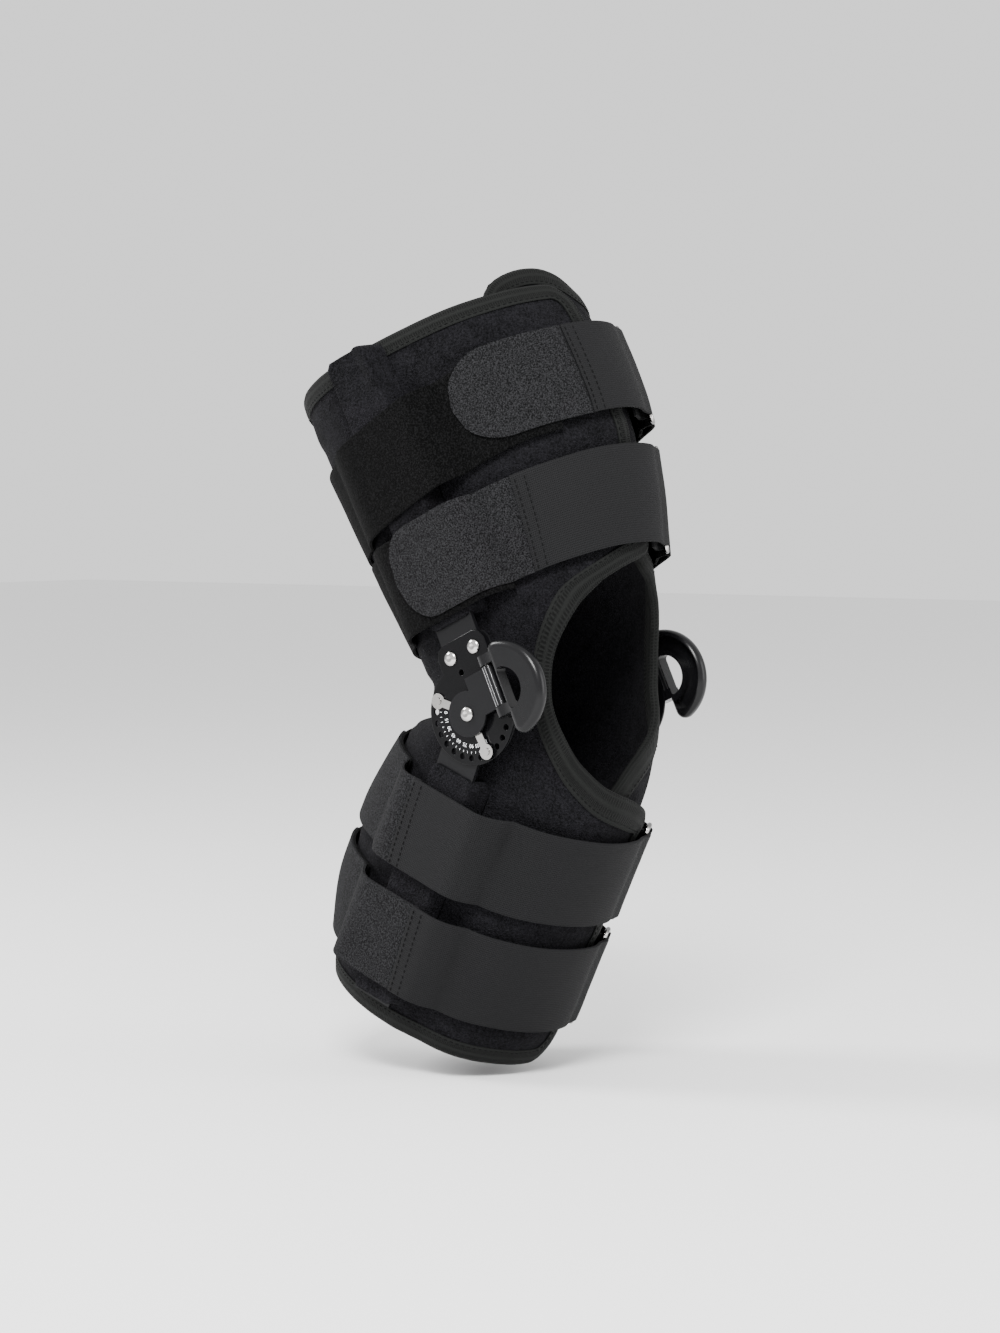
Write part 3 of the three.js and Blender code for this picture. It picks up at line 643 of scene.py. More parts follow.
def edge_frames():
    """Each point of the outline, with the way out of the cloth and the length run so far."""
    loop = smooth_loop(edge_loop(), 3)
    frames = []
    run = 0.0
    for i, (angle, v, row) in enumerate(loop):
        before, after = loop[i - 1], loop[(i + 1) % len(loop)]
        scale = scale_at(angle, v)
        along = Vector(((after[0] - before[0]) * scale, after[1] - before[1]))
        run += along.length / 2
        along.normalize()
        frames.append((angle, v, row, (along.y / scale, -along.x), run))
    return frames


def edge_point(item, out, height):
    angle, v, row, (da, dv), _ = item
    return leg_point(angle + da * out, v + dv * out, wrap_height(angle, row) + height)


# The tape's section: distance past the cloth's edge and height over the cloth
TAPE_SECTION = [(-TAPE_WIDTH, 0.15), (-TAPE_WIDTH, TAPE_WALL), (-4.6, TAPE_WALL + 0.5),
                (-0.6, TAPE_WALL + 0.25), (TAPE_WALL, 0.2), (TAPE_WALL + 0.2, -WRAP_WALL / 2),
                (TAPE_WALL, -WRAP_WALL - 0.2), (-0.6, -WRAP_WALL - TAPE_WALL),
                (-TAPE_WIDTH, -WRAP_WALL - TAPE_WALL), (-TAPE_WIDTH, -WRAP_WALL - 0.15),
                (0.1, -WRAP_WALL - 0.1), (0.1, 0.1)]


def make_tape():
    frames = edge_frames()
    count, turns = len(TAPE_SECTION), len(frames)

    def place(u, w):
        out, height = TAPE_SECTION[round(w * count) % count]
        return edge_point(frames[round(u * turns) % turns], out, height)

    tape = sheet_mesh("ribbed_edge_tape", turns, count, place, (frames[-1][4], 3 * count))
    bpy.ops.object.mode_set(mode="EDIT")
    bpy.ops.mesh.select_all(action="SELECT")
    bpy.ops.mesh.remove_doubles(threshold=0.000001)
    bpy.ops.mesh.normals_make_consistent(inside=False)
    bpy.ops.object.mode_set(mode="OBJECT")
    smooth_shade(tape, 60)
    dress(tape, tape_rib, "edge_tape", replaced=["edge_tape"])
    return frames


tape_frames = make_tape()


# Stitches: one short thread, copied along a row
def stitch_rows(name, rows, pitch, length, radius):
    """rows are lists of (point, normal) in metres; each gets a stitch every pitch mm."""
    bpy.ops.object.select_all(action="DESELECT")
    bpy.ops.mesh.primitive_uv_sphere_add(segments=6, ring_count=4, radius=1)
    seed = bpy.context.object
    seed.data.transform(Matrix.Diagonal((radius * MM, radius * MM, length * MM / 2, 1)))
    base = np.array([v.co[:] for v in seed.data.vertices])
    faces = [tuple(p.vertices) for p in seed.data.polygons]
    points, polygons = [], []
    for row in rows:
        run, due = 0.0, 0.0
        for (a, na), (b, _) in zip(row, row[1:]):
            span = (b - a).length / MM
            if span < 1e-6:
                continue
            while due <= run + span:
                at = a.lerp(b, (due - run) / span)
                way = (b - a).normalized()
                side = way.cross(na).normalized()
                turn = np.array([side[:], side.cross(way)[:], way[:]])
                polygons += [tuple(i + len(points) * len(base) for i in face) for face in faces]
                points.append(base @ turn + np.array(at[:]))
                due += pitch
            run += span
    mesh = seed.data
    mesh.clear_geometry()
    mesh.from_pydata(np.concatenate(points).tolist(), [], polygons)
    mesh.uv_layers.new(name="UVMap")
    mesh.update()
    seed.name = name
    smooth_shade(seed, 80)
    return seed


# How far the tape's two seams lie from its inner edge
TAPE_SEAMS = (1.6, 4.2)


def edge_stitches():
    rows = []
    for inset in TAPE_SEAMS:
        out = -TAPE_WIDTH + inset
        row = []
        for item in tape_frames + tape_frames[:1]:
            point = edge_point(item, out, TAPE_WALL + 0.3)
            normal = (edge_point(item, out, TAPE_WALL + 1.3) - point).normalized()
            row.append((point, normal))
        rows.append(row)
    stitches = stitch_rows("edge_tape_stitches", rows, pitch=3.4, length=2.3, radius=0.26)
    dress(stitches, thread, "edge_tape")


edge_stitches()


# Each arm runs straight from its bend to its end: how far out the end stands from the hinge,
# and how far forward the arm starts and finishes
ARM_LINES = {
    "thigh": dict(bend=50, end=0.97 * THIGH, out=16, start=8, finish=14),
    "calf": dict(bend=38, end=0.95 * CALF, out=-7, start=0, finish=-11),
}


def arm_line(limb, along):
    line = ARM_LINES[limb]
    t = max(0.0, (along - line["bend"]) / (line["end"] - line["bend"]))
    return ARM_X + line["out"] * t, line["start"] + (line["finish"] - line["start"]) * t


def limb_point(limb, side, forward, along, x):
    tilt = math.radians(THIGH_TILT) if limb == "thigh" else -math.radians(CALF_TILT)
    sign = 1 if limb == "thigh" else -1
    point = front_of(tilt) * forward + up_of(tilt) * (along * sign)
    return Vector((side * x, point.y, point.z)) * MM


def seat_x(limb, forward, along):
    """How far out the wrap's face is beside an arm."""
    v = (1 if limb == "thigh" else -1) * (along - BEND_TANGENT + BEND)
    depth = (front_at(v) if forward > 0 else back_at(v)) * KNEE_DEPTH
    return half_at(v) * KNEE_HALF * math.sqrt(max(0.1, 1 - (forward / depth) ** 2))


# The pockets over the arms
POCKET_ENDS = {"thigh": (50, 1.012 * THIGH), "calf": (35, 0.94 * CALF)}
POCKET_SHOULDER = 0.26
POCKET_CORNER = 7
POCKET_GAP = 0.7
POCKET_SEAM = 0.88
SEAM_POINTS = 60


def pocket_profile(s):
    """Share of the arm's height that the pocket's cloth has at s, from -1 to 1 across."""
    return smooth((1.0 - abs(s)) / POCKET_SHOULDER)


def pocket_creases(limb, side, s, along):
    """The pocket's small creases, and the thigh pockets' puckered mouths."""
    crease = 0.5 * lump(s * 19, along, side * 5, 0.08, 11) + 0.35 * lump(s * 19, along, 3, 0.22, 5)
    if limb == "calf":
        return crease
    mouth = smooth((along - 0.87 * THIGH) / 16)
    fold = 2.2 * math.exp(-((s - 0.62) / 0.22) ** 2) - 1.0 * math.exp(-((s - 0.25) / 0.25) ** 2)
    return crease + mouth * fold


def pocket_point(limb, side, s, along):
    """A point of the pocket's face, at s from -1 to 1 across and along the limb."""
    start, end = POCKET_ENDS[limb]
    x, forward = arm_line(limb, along)
    corner = clamp(min(along - start, end - along) / POCKET_CORNER)
    half = POCKET_WIDTH / 2 * (0.78 + 0.22 * math.sqrt(1 - (1 - corner) ** 2))
    near = seat_x(limb, forward + s * half, along) + POCKET_GAP
    if limb == "thigh":
        near += 1.2 * smooth((along - 0.93 * THIGH) / 8)
    far = x + ARM_WALL / 2 + ARM_SLACK + POCKET_PLY
    height = near + (far - near) * pocket_profile(s) + pocket_creases(limb, side, s, along)
    lean = 0.8 * lump(along, 2, side, 0.03, 9)
    return limb_point(limb, side, forward + s * half + lean, along, height)


def pocket_seams(node, limb, side):
    start, end = POCKET_ENDS[limb]
    outwards = Vector((side, 0, 0))
    rows = []
    for s in (-POCKET_SEAM, POCKET_SEAM):
        row = []
        for k in range(SEAM_POINTS):
            along = start + (end - start) * (0.01 + 0.98 * k / (SEAM_POINTS - 1))
            row.append((pocket_point(limb, side, s, along) + outwards * 0.25 * MM, outwards))
        rows.append(row)
    stitches = stitch_rows(f"{node}_stitches", rows, pitch=3.2, length=2.1, radius=0.24)
    dress(stitches, thread, "wrap_fabric")


def make_pocket(limb, side, name):
    start, end = POCKET_ENDS[limb]
    node = f"pocket_{limb}_{name}"

    def place(u, w):
        return pocket_point(limb, side, 2 * u - 1, start + (end - start) * w)

    pocket = sheet_mesh(f"fabric_{node}", 40, 70, place, (POCKET_WIDTH, end - start))
    if (side > 0) == (limb == "thigh"):
        flip_faces(pocket)
    wall_sheet(pocket, POCKET_PLY, bevel=0.35)
    dress(pocket, wrap_pile, "wrap_fabric", replaced=[node])
    pocket_seams(node, limb, side)


for side_name, side_sign in SIDES.items():
    for limb_name in ("thigh", "calf"):
        make_pocket(limb_name, side_sign, side_name)


# Straps
def pocket_height(angle, v):
    """How far a pocket and its arm stand over the wrap's own form."""
    limb = "thigh" if v > 0 else "calf"
    along = abs(v) + BEND_TANGENT - BEND
    x, forward = arm_line(limb, along)
    c = math.cos(math.radians(angle))
    n = (front_at(v) if c > 0 else back_at(v)) * KNEE_DEPTH * c
    outer = (x + ARM_WALL / 2 + ARM_SLACK + POCKET_PLY) / max(0.3, abs(math.sin(math.radians(angle))))
    away = abs(n - forward) - POCKET_WIDTH / 2
    return (outer - half_at(v) * KNEE_HALF) * smooth(1 - away / (0.6 * POCKET_WIDTH))


def strap_rest(angle, v):
    """Height of what a strap lies on: a pocket or the lapped flaps."""
    return max(pocket_height(angle, v), lap_height(angle) + 1.2 * clamp((angle - LAP_START) / 20))


# The gaps under the loop band and the elastic, the angle past which the elastic no longer
# follows the flaps, and the ring's own sizes
BASE_GAP, TOP_GAP = 0.9, 0.6
FLAP_LIMIT = 382
RING_HEIGHT = 7
RING_WIRE = 3
RING_DEPTH = 13
RING_CORNER = 2.2
RING_SPREAD = 24


def ring_top(ring, angle):
    return RING_HEIGHT * smooth(1 - abs(angle - ring) / RING_SPREAD)


def base_height(strap, angle, v):
    return BASE_GAP + max(strap_rest(angle, v), ring_top(strap["ring"], angle))


def top_height(strap, angle, v):
    """Height of the elastic, which lies over the loop band up to its ring."""
    turned = angle if angle > 90 else angle + 360
    ring_side = TOP_GAP + ring_top(strap["ring"] + 360, turned)
    flap = TOP_GAP + strap_rest(min(turned, FLAP_LIMIT), v)
    bar = RING_DEPTH / 2 / scale_at(strap["ring"], v)
    lift = (STRAP_WALL + 0.55) * smooth((strap["ring"] + 360 - bar - turned) / 12)
    return max(flap, ring_side) + lift


def level(_angle):
    return 0.0


def back_drop(angle):
    """The topmost loop band dips behind the thigh."""
    return -13 * smooth((325 - angle) / 85) * smooth((angle - 60) / 70)


# The bands' spacing of rows, in mm, along the run and round the fold
BAND_STEP, FOLD_STEP = 2.2, 1.6
BAND_COLUMNS = 28

# The share of its width that a tab keeps at the tip of its round end
TIP_SHARE = 0.08


def round_share(travelled, half):
    """Share of the full width at a distance from a tab's round end."""
    corner = (1 - TIP_SHARE) * half
    if travelled >= corner:
        return 1.0
    return TIP_SHARE + (1 - TIP_SHARE) * math.sqrt(max(0.0, 1 - (1 - travelled / corner) ** 2))


def strap_sheet(name, angles, low, height_at, wall, seed, round_end=False, fold=(),
                slope=level):
    """A band over a run of angles, and its length. The fold's (angle, height) go on past it."""
    half = STRAP_WIDTH / 2
    middle = low + half
    first, end = angles
    scale = scale_at((first + end) / 2, middle)
    length = abs(end - first) * scale
    count = int(length / BAND_STEP)
    run = [(first + (end - first) * i / count, None) for i in range(count + 1)]
    run += fold
    last = len(run) - 1
    total = length + FOLD_STEP * len(fold)

    def place(u, w):
        angle, fixed = run[round(u * last)]
        share = round_share(abs(angle - first) * scale, half) if round_end else 1.0
        s = 2 * w - 1
        v = middle + s * half * share + slope(angle)
        if fixed is None:
            height = height_at(angle, v)
            height += 0.35 * lump(angle * 0.9, v, seed, 0.05, seed) * (0.4 + abs(s))
            v += 0.5 * lump(angle, seed, s, 0.04, 4) * abs(s)
        else:
            height = fixed + height_at(end, v)
        return leg_point(angle, v, height)

    band = sheet_mesh(name, last, BAND_COLUMNS, place, (total, STRAP_WIDTH))
    if end < first:
        flip_faces(band)
    wall_sheet(band, wall, offset=1, bevel=0.3)
    return band, total


TURN_STEPS, UNDER_STEPS = 12, 7
UNDER_STEP = 1.1


def fold_points(start, way, drop, reach):
    """A half turn round a ring's bar, then a short run back underneath."""
    points = []
    for i in range(1, TURN_STEPS + 1):
        t = math.pi * i / TURN_STEPS
        points.append((start + way * reach * math.sin(t), -drop * (1 - math.cos(t)) / 2))
    for i in range(1, UNDER_STEPS + 1):
        points.append((start - way * UNDER_STEP * i, -drop))
    return points


# How many degrees the elastic reaches past the lap seam, and the bands' lift over a ring's bar
SEAM_LAP = 3.0
BAR_LIFT, BAR_SPREAD = 2.6, 9


def bar_lift(angle, bar_angle):
    return BAR_LIFT * smooth(1 - abs(angle - bar_angle) / BAR_SPREAD)


def make_strap(strap):
    low, ring, name = strap["low"], strap["ring"], strap["name"]
    scale = scale_at(ring, low + STRAP_WIDTH / 2)
    bar = (RING_DEPTH / 2 - RING_WIRE / 2) / scale
    reach = (RING_WIRE / 2 + STRAP_WALL + 0.4) / scale
    drop = RING_WIRE + STRAP_WALL + 0.6
    top_end, base_end = ring + 360 - bar, ring + bar

    def top_at(angle, v):
        return top_height(strap, angle, v) + bar_lift(angle, top_end)

    def base_at(angle, v):
        return base_height(strap, angle, v) + bar_lift(angle, base_end)

    def tab_at(angle, v):
        over = smooth((angle - strap["seam"] + 5) / 3)
        return top_height(strap, angle, v) - 0.25 - 0.9 * over

    top, total = strap_sheet(f"elastic_band_{name}", (strap["seam"] - SEAM_LAP, top_end), low,
                             top_at, STRAP_WALL, fold=fold_points(top_end, 1, drop, reach),
                             seed=1.0 + low)
    dress(top, elastic_rib, "elastic_band", replaced=[f"strap_top_{name}"])

    base, total = strap_sheet(f"loop_band_{name}", (strap["base"], base_end),
                              low + strap["shift"], base_at, STRAP_WALL,
                              fold=fold_points(base_end, -1, drop, reach), seed=2.0 + low,
                              slope=back_drop if name == "thigh_upper" else level)
    dress(base, loop_pile, "loop_band", replaced=[f"strap_base_{name}"])

    tab, total = strap_sheet(f"hook_tab_{name}", (strap["tab"], strap["seam"] - 0.5), low, tab_at,
                             STRAP_WALL * 0.8, round_end=True, seed=3.0 + low)
    dress(tab, hook_weave, "hook_tab", replaced=[f"strap_tab_{name}"])
    lap_seam(strap, top_at)
    make_ring(strap)


# The lap seam's two rows, in mm from the elastic's end, and how far they stop from its edges
SEAM_ROWS = (1.6, 6.2)
SEAM_INSET = 1.5
LAP_POINTS = 40


def lap_seam(strap, height_at):
    """Two rows of stitches across the band where it is sewn to the tab."""
    rows = []
    low = strap["low"]
    scale = scale_at(strap["seam"], low + STRAP_WIDTH / 2)
    for back in SEAM_ROWS:
        angle = strap["seam"] - SEAM_LAP + back / scale
        row = []
        for k in range(LAP_POINTS):
            v = low + SEAM_INSET + (STRAP_WIDTH - 2 * SEAM_INSET) * k / (LAP_POINTS - 1)
            height = height_at(angle, v) + STRAP_WALL + 0.1
            point = leg_point(angle, v, height)
            row.append((point, (leg_point(angle, v, height + 1) - point).normalized()))
        rows.append(row)
    stitches = stitch_rows(f"lap_seam_stitches_{strap['name']}", rows, pitch=3.4, length=2.3,
                           radius=0.42)
    dress(stitches, thread, "elastic_band")


def make_ring(strap):
    """A rectangular ring bent from round wire."""
    ring, middle = strap["ring"], strap["low"] + STRAP_WIDTH / 2
    centre = leg_point(ring, middle, BASE_GAP + RING_HEIGHT + 1)
    up = (leg_point(ring, middle + 5, 0) - leg_point(ring, middle - 5, 0)).normalized()
    around = (leg_point(ring + 4, middle, 0) - leg_point(ring - 4, middle, 0)).normalized()
    bpy.ops.object.select_all(action="DESELECT")
    bpy.ops.curve.primitive_bezier_circle_add(radius=1)
    wire = bpy.context.object
    spline = wire.data.splines[0]
    spline.type = "POLY"
    wide = RING_DEPTH / 2 - RING_WIRE / 2 - RING_CORNER
    long = STRAP_WIDTH / 2 + 1 + RING_WIRE / 2 - RING_CORNER
    points = []
    for a, b, start in ((1, 1, 0), (-1, 1, 90), (-1, -1, 180), (1, -1, 270)):
        points += arc_points(a * wide, b * long, RING_CORNER, start, start + 90, 5)
    spline.points.add(len(points) - len(spline.points))
    for target, (a, b) in zip(spline.points, points):
        target.co = (*(centre + around * a * MM + up * b * MM), 1)
    spline.use_cyclic_u = True
    wire.data.dimensions = "3D"
    wire.data.bevel_depth = RING_WIRE / 2 * MM
    wire.data.bevel_resolution = 4
    select_only(wire)
    bpy.ops.object.convert(target="MESH")
    wire = bpy.context.object
    wire.name = f"wire_ring_{strap['name']}"
    smooth_shade(wire, 60)
    dress(wire, bright, "bright_steel", replaced=[f"strap_ring_{strap['name']}"])


for strap_row in STRAPS:
    make_strap(strap_row)


# Hinge pieces are drawn flat: X forward, Y up the thigh, Z outwards, in metres
def side_matrix(side):
    tilt = math.radians(THIGH_TILT)
    return Matrix((Vector((0, 0, side)),
                   Vector((front_of(tilt).y, up_of(tilt).y, 0)),
                   Vector((front_of(tilt).z, up_of(tilt).z, 0)))).to_4x4()


def flat_plate(name, outline, low, high):
    """A plate cut from an outline: a filled ring of points, extruded."""
    bpy.ops.object.select_all(action="DESELECT")
    bpy.ops.mesh.primitive_circle_add(vertices=len(outline), radius=1, fill_type="NGON")
    obj = bpy.context.object
    obj.name = name
    for vert, (x, y) in zip(obj.data.vertices, outline):
        vert.co = (x * MM, y * MM, low * MM)
    bpy.ops.object.mode_set(mode="EDIT")
    bpy.ops.mesh.select_all(action="SELECT")
    bpy.ops.mesh.extrude_region_move(TRANSFORM_OT_translate={"value": (0, 0, (high - low) * MM)})
    bpy.ops.mesh.select_all(action="SELECT")
    bpy.ops.mesh.normals_make_consistent(inside=False)
    bpy.ops.object.mode_set(mode="OBJECT")
    return obj


def round_bar(radius, x, y, low, high, vertices):
    bpy.ops.object.select_all(action="DESELECT")
    bpy.ops.mesh.primitive_cylinder_add(vertices=vertices, radius=radius * MM,
                                        depth=(high - low) * MM,
                                        location=(x * MM, y * MM, (low + high) / 2 * MM))
    bpy.ops.object.transform_apply(location=True, rotation=True, scale=True)
    return bpy.context.object


def along_bar(radius, x, z, low, high, vertices):
    """A round bar along Y."""
    bpy.ops.object.select_all(action="DESELECT")
    bpy.ops.mesh.primitive_cylinder_add(vertices=vertices, radius=radius * MM,
                                        depth=(high - low) * MM, rotation=(math.pi / 2, 0, 0),
                                        location=(x * MM, (low + high) / 2 * MM, z * MM))
    bpy.ops.object.transform_apply(location=True, rotation=True, scale=True)
    return bpy.context.object


def combine(obj, other, operation):
    modifier = obj.modifiers.new("combine", "BOOLEAN")
    modifier.operation = operation
    modifier.solver = "EXACT"
    modifier.object = other
    apply_all(obj)
    bpy.data.objects.remove(other, do_unlink=True)


def soften(obj, width, segments=2):
    add_modifier(obj, "BEVEL", width=width * MM, segments=segments, limit_method="ANGLE",
                 angle_limit=math.radians(30), use_clamp_overlap=True)
    smooth_shade(obj, 20)


def inset_flats(obj, thickness):
    """Inset the flat faces across Z, so that the rounding's shading stays off them."""
    select_only(obj)
    for polygon in obj.data.polygons:
        polygon.select = abs(polygon.normal.z) > 0.999
    bpy.ops.object.mode_set(mode="EDIT")
    bpy.ops.mesh.select_mode(type="FACE")
    bpy.ops.mesh.inset(thickness=thickness * MM)
    bpy.ops.object.mode_set(mode="OBJECT")


def put_on_side(obj, name, side):
    """A finished copy on one side of the knee."""
    copy = obj.copy()
    copy.data = obj.data.copy()
    bpy.context.collection.objects.link(copy)
    copy.name = name
    copy.data.transform(side_matrix(side))
    if side > 0:
        copy.data.flip_normals()
    return copy


def keyhole(radius):
    """A hinge plate's outline: a disc with a neck up to the arm's rivets."""
    left, right, top, corner = -9, 25, 41, 6
    start = math.degrees(math.acos(right / radius))
    end = math.degrees(math.acos(left / radius))
    neck = [(right, top - corner), (right - corner / 3, top - corner / 3), (right - corner, top),
            (left + corner, top), (left + corner / 3, top - corner / 3), (left, top - corner)]
    return arc_points(0, 0, radius, end, start + 360, 72) + neck


RIVETS = {"rear": (-0.5, 32.5), "front": (16.5, 32.5)}
SPARE_HOLE = (3, 23)
STOP_HOLE = 1.7
STOP_HOLES = 12
STOP_STEP = 15


def dial_spot(degrees, radius):
    t = math.radians(degrees - THIGH_TILT)
    return -radius * math.cos(t), -radius * math.sin(t)


def drill(obj, x, y, radius):
    combine(obj, round_bar(radius, x, y, HINGE_X - 6, PIN_X + 20, 24), "DIFFERENCE")


def make_dial():
    dial = flat_plate("dial", keyhole(DIAL_RADIUS), DIAL_X, DIAL_X + PLATE)
    drill(dial, 0, 0, PIVOT_BORE)
    drill(dial, *SPARE_HOLE, STOP_HOLE)
    for spot in RIVETS.values():
        drill(dial, *spot, RIVET_BORE)
    for i in range(STOP_HOLES):
        drill(dial, *dial_spot(STOP_STEP * i, HOLE_CIRCLE), STOP_HOLE)
    soften(dial, 0.3)
    return dial


def make_back_plate():
    back = flat_plate("back", keyhole(DIAL_RADIUS - 2), HINGE_X, HINGE_X + PLATE)
    drill(back, 0, 0, PIVOT_BORE)
    for spot in RIVETS.values():
        drill(back, *spot, RIVET_BORE)
    soften(back, 0.25)
    return back


KNUCKLE_LOW, KNUCKLE_HIGH = -5, 18
COVER_START, COVER_END = 60, 335


def knuckle_bar(radius, past, vertices=24):
    """A bar through the knuckle that goes past each of its ends."""
    return along_bar(radius, KNUCKLE_FORWARD, PIN_X, KNUCKLE_LOW - past, KNUCKLE_HIGH + past, vertices)


def make_cover():
    """The cover plate, with the knuckle rolled along its front edge."""
    edge = KNUCKLE_FORWARD - 1
    outline = arc_points(0, 0, COVER_RADIUS, COVER_START, COVER_END, 44)
    outline += [(edge, KNUCKLE_LOW), (edge, KNUCKLE_HIGH),
                (COVER_RADIUS * math.cos(math.radians(COVER_START)), KNUCKLE_HIGH)]
    cover = flat_plate("cover", outline, COVER_X, COVER_X + PLATE)
    drill(cover, 0, 0, PIVOT_BORE)
    combine(cover, knuckle_bar(KNUCKLE_RADIUS, 0), "UNION")
    combine(cover, knuckle_bar(PIN_BORE, 2, 16), "DIFFERENCE")
    soften(cover, 0.22)
    return cover


def round_d(x, y, radius, corner, count=44):
    """A half disc with its two corners rounded."""
    rise = math.sqrt((radius - corner) ** 2 - corner ** 2)
    meet = math.degrees(math.atan2(rise, corner))
    return (arc_points(x, y, radius, -meet, meet, count)
            + arc_points(x + corner, y + rise, corner, meet + 8, 180, 10)
            + arc_points(x + corner, y - rise, corner, 180, 352 - meet, 10))


# The D handle: half its thickness, how far it hangs under the knuckle's middle, its corners,
# its gap to the knuckle, its rim, and its ears' start and end past the knuckle
HANDLE_HALF = 4
HANDLE_DROP = 4.5
HANDLE_CORNER = 5.5
HANDLE_GAP = 1.2
HANDLE_RIM = 4.4
DISH_DEPTH = 4.5
WINDOW_RADIUS = 12
WINDOW_COLLAR = 16.6
EAR_NEAR, EAR_FAR = 0.4, 6


def make_handle():
    """The D handle: a rounded half disc with a window, dished inside, and two ears for the pin."""
    middle = (KNUCKLE_LOW + KNUCKLE_HIGH) / 2 - HANDLE_DROP
    inner = KNUCKLE_FORWARD + KNUCKLE_RADIUS + HANDLE_GAP
    low, high = PIN_X - HANDLE_HALF, PIN_X + HANDLE_HALF
    handle = flat_plate("handle", round_d(inner, middle, HANDLE_RADIUS, HANDLE_CORNER), low, high)
    window = flat_plate("window", round_d(inner + 2.5, middle, WINDOW_RADIUS, 2.2, 24),
                        low - 2, high + 2)
    soften(handle, 3.5, 7)
    inset_flats(handle, 0.5)
    combine(handle, window, "DIFFERENCE")
    dish = flat_plate("dish", round_d(inner + 2.2, middle, HANDLE_RADIUS - HANDLE_RIM, 4),
                      low - 3, low + DISH_DEPTH)
    combine(dish, flat_plate("island", arc_points(inner - 1.0, middle, WINDOW_COLLAR, -90, 90, 28),
                             low - 4, low + 6), "DIFFERENCE")
    combine(handle, dish, "DIFFERENCE")
    for a, b in ((KNUCKLE_HIGH + EAR_NEAR, KNUCKLE_HIGH + EAR_FAR),
                 (KNUCKLE_LOW - EAR_FAR, KNUCKLE_LOW - EAR_NEAR)):
        ear = flat_plate("ear", [(KNUCKLE_FORWARD, a), (inner + 3, a), (inner + 3, b),
                                 (KNUCKLE_FORWARD, b)], low, high - 0.2)
        combine(ear, along_bar(HANDLE_HALF, KNUCKLE_FORWARD, PIN_X, a, b, 28), "UNION")
        combine(handle, ear, "UNION")
    combine(handle, knuckle_bar(PIN_BORE, 2 * EAR_FAR, 16), "DIFFERENCE")
    smooth_shade(handle, 20)
    return handle


# The knuckle's three bright bars are painted highlights along its rolled edge
RIDGE_SPREAD = 2.0
RIDGE_RADIUS = 0.3


def make_ridges():
    """Three thin bright steel bars along the rolled knuckle: painted highlights where its edges catch
    the light.
    """
    ridges = None
    for forward in (-RIDGE_SPREAD, 0.0, RIDGE_SPREAD):
        rise = math.sqrt(KNUCKLE_RADIUS ** 2 - forward ** 2)
        bar = along_bar(RIDGE_RADIUS, KNUCKLE_FORWARD + forward, PIN_X + rise,
                        KNUCKLE_LOW + RIDGE_RADIUS, KNUCKLE_HIGH - RIDGE_RADIUS, 12)
        if ridges is None:
            ridges = bar
        else:
            combine(ridges, bar, "UNION")
    smooth_shade(ridges, 40)
    return ridges


POINTER_WALL = 0.8
POINTER_HALF = 2.3
POINTER_HUB = 6.5
POINTER_PAD = 4.3
POINTER_KNOB = 2.1


def make_pointer(degrees, low):
    """A stop pointer: a hub on the pivot, an arm, and a pad with a knob over the dial's holes."""
    x, y = dial_spot(degrees, HOLE_CIRCLE - 1)
    high = low + POINTER_WALL
    arm = Vector((x, y)).normalized()
    across = Vector((-arm.y, arm.x)) * POINTER_HALF
    tip = arm * (HOLE_CIRCLE - 2)
    pointer = flat_plate("pointer", [across[:], (tip + across)[:], (tip - across)[:],
                                     (-across)[:]], low, high)
    combine(pointer, round_bar(POINTER_HUB, 0, 0, low, high, 40), "UNION")
    combine(pointer, round_bar(POINTER_PAD, x, y, low, high, 40), "UNION")
    drill(pointer, 0, 0, PIVOT_BORE)
    combine(pointer, round_bar(POINTER_KNOB, x, y, low + 0.4, low + 1.5, 28), "UNION")
    soften(pointer, 0.22)
    return pointer


HEAD_RADIUS = 4.1
HEAD_RISE = 1.8
DIMPLE_RADIUS = 1.5
DIMPLE_DEPTH = 0.55


def make_rivet(x, y, shaft, low, high):
    """A domed rivet with a shallow dimple, its head pressed from a ball."""
    bpy.ops.object.select_all(action="DESELECT")
    bpy.ops.mesh.primitive_uv_sphere_add(segments=32, ring_count=16, radius=HEAD_RADIUS * MM)
    head = bpy.context.object
    for vert in head.data.vertices:
        z = vert.co.z / MM
        r = math.hypot(vert.co.x, vert.co.y) / MM
        if z > 0:
            dimple = DIMPLE_DEPTH * (1 - (r / DIMPLE_RADIUS) ** 2) if r < DIMPLE_RADIUS else 0.0
            lift = max(0.0, z / HEAD_RADIUS * HEAD_RISE - dimple)
        else:
            lift = 0.004 * (z + HEAD_RADIUS) - 0.02
        vert.co = (vert.co.x + x * MM, vert.co.y + y * MM, (high + lift) * MM)
    combine(head, round_bar(shaft, x, y, low - 0.8, high + 0.1, 24), "UNION")
    combine(head, round_bar(shaft + 1.2, x, y, low - 0.9, low, 24), "UNION")
    smooth_shade(head, 35)
    return head


NUMBER_CIRCLE, NUMBER_SIZE = 17.4, 2.9
TICK_CIRCLE = 21.0
TICK_SIZE = (1.1, 0.25, 0.05)
NUMBER_LAST = 120


def dial_number(degrees, turn):
    x, y = dial_spot(degrees, NUMBER_CIRCLE)
    bpy.ops.object.select_all(action="DESELECT")
    bpy.ops.object.text_add(location=(x * MM, y * MM, (DIAL_X + PLATE + 0.02) * MM),
                            rotation=(0, 0, math.radians(degrees - THIGH_TILT + 90)))
    text = bpy.context.object
    text.data.body = str(degrees)
    text.data.size = NUMBER_SIZE * MM
    text.scale.x = turn
    text.data.align_x = "CENTER"
    text.data.align_y = "CENTER"
    text.data.extrude = 0.02 * MM
    bpy.ops.object.convert(target="MESH")
    bpy.ops.object.transform_apply(location=True, rotation=True, scale=True)
    return bpy.context.object


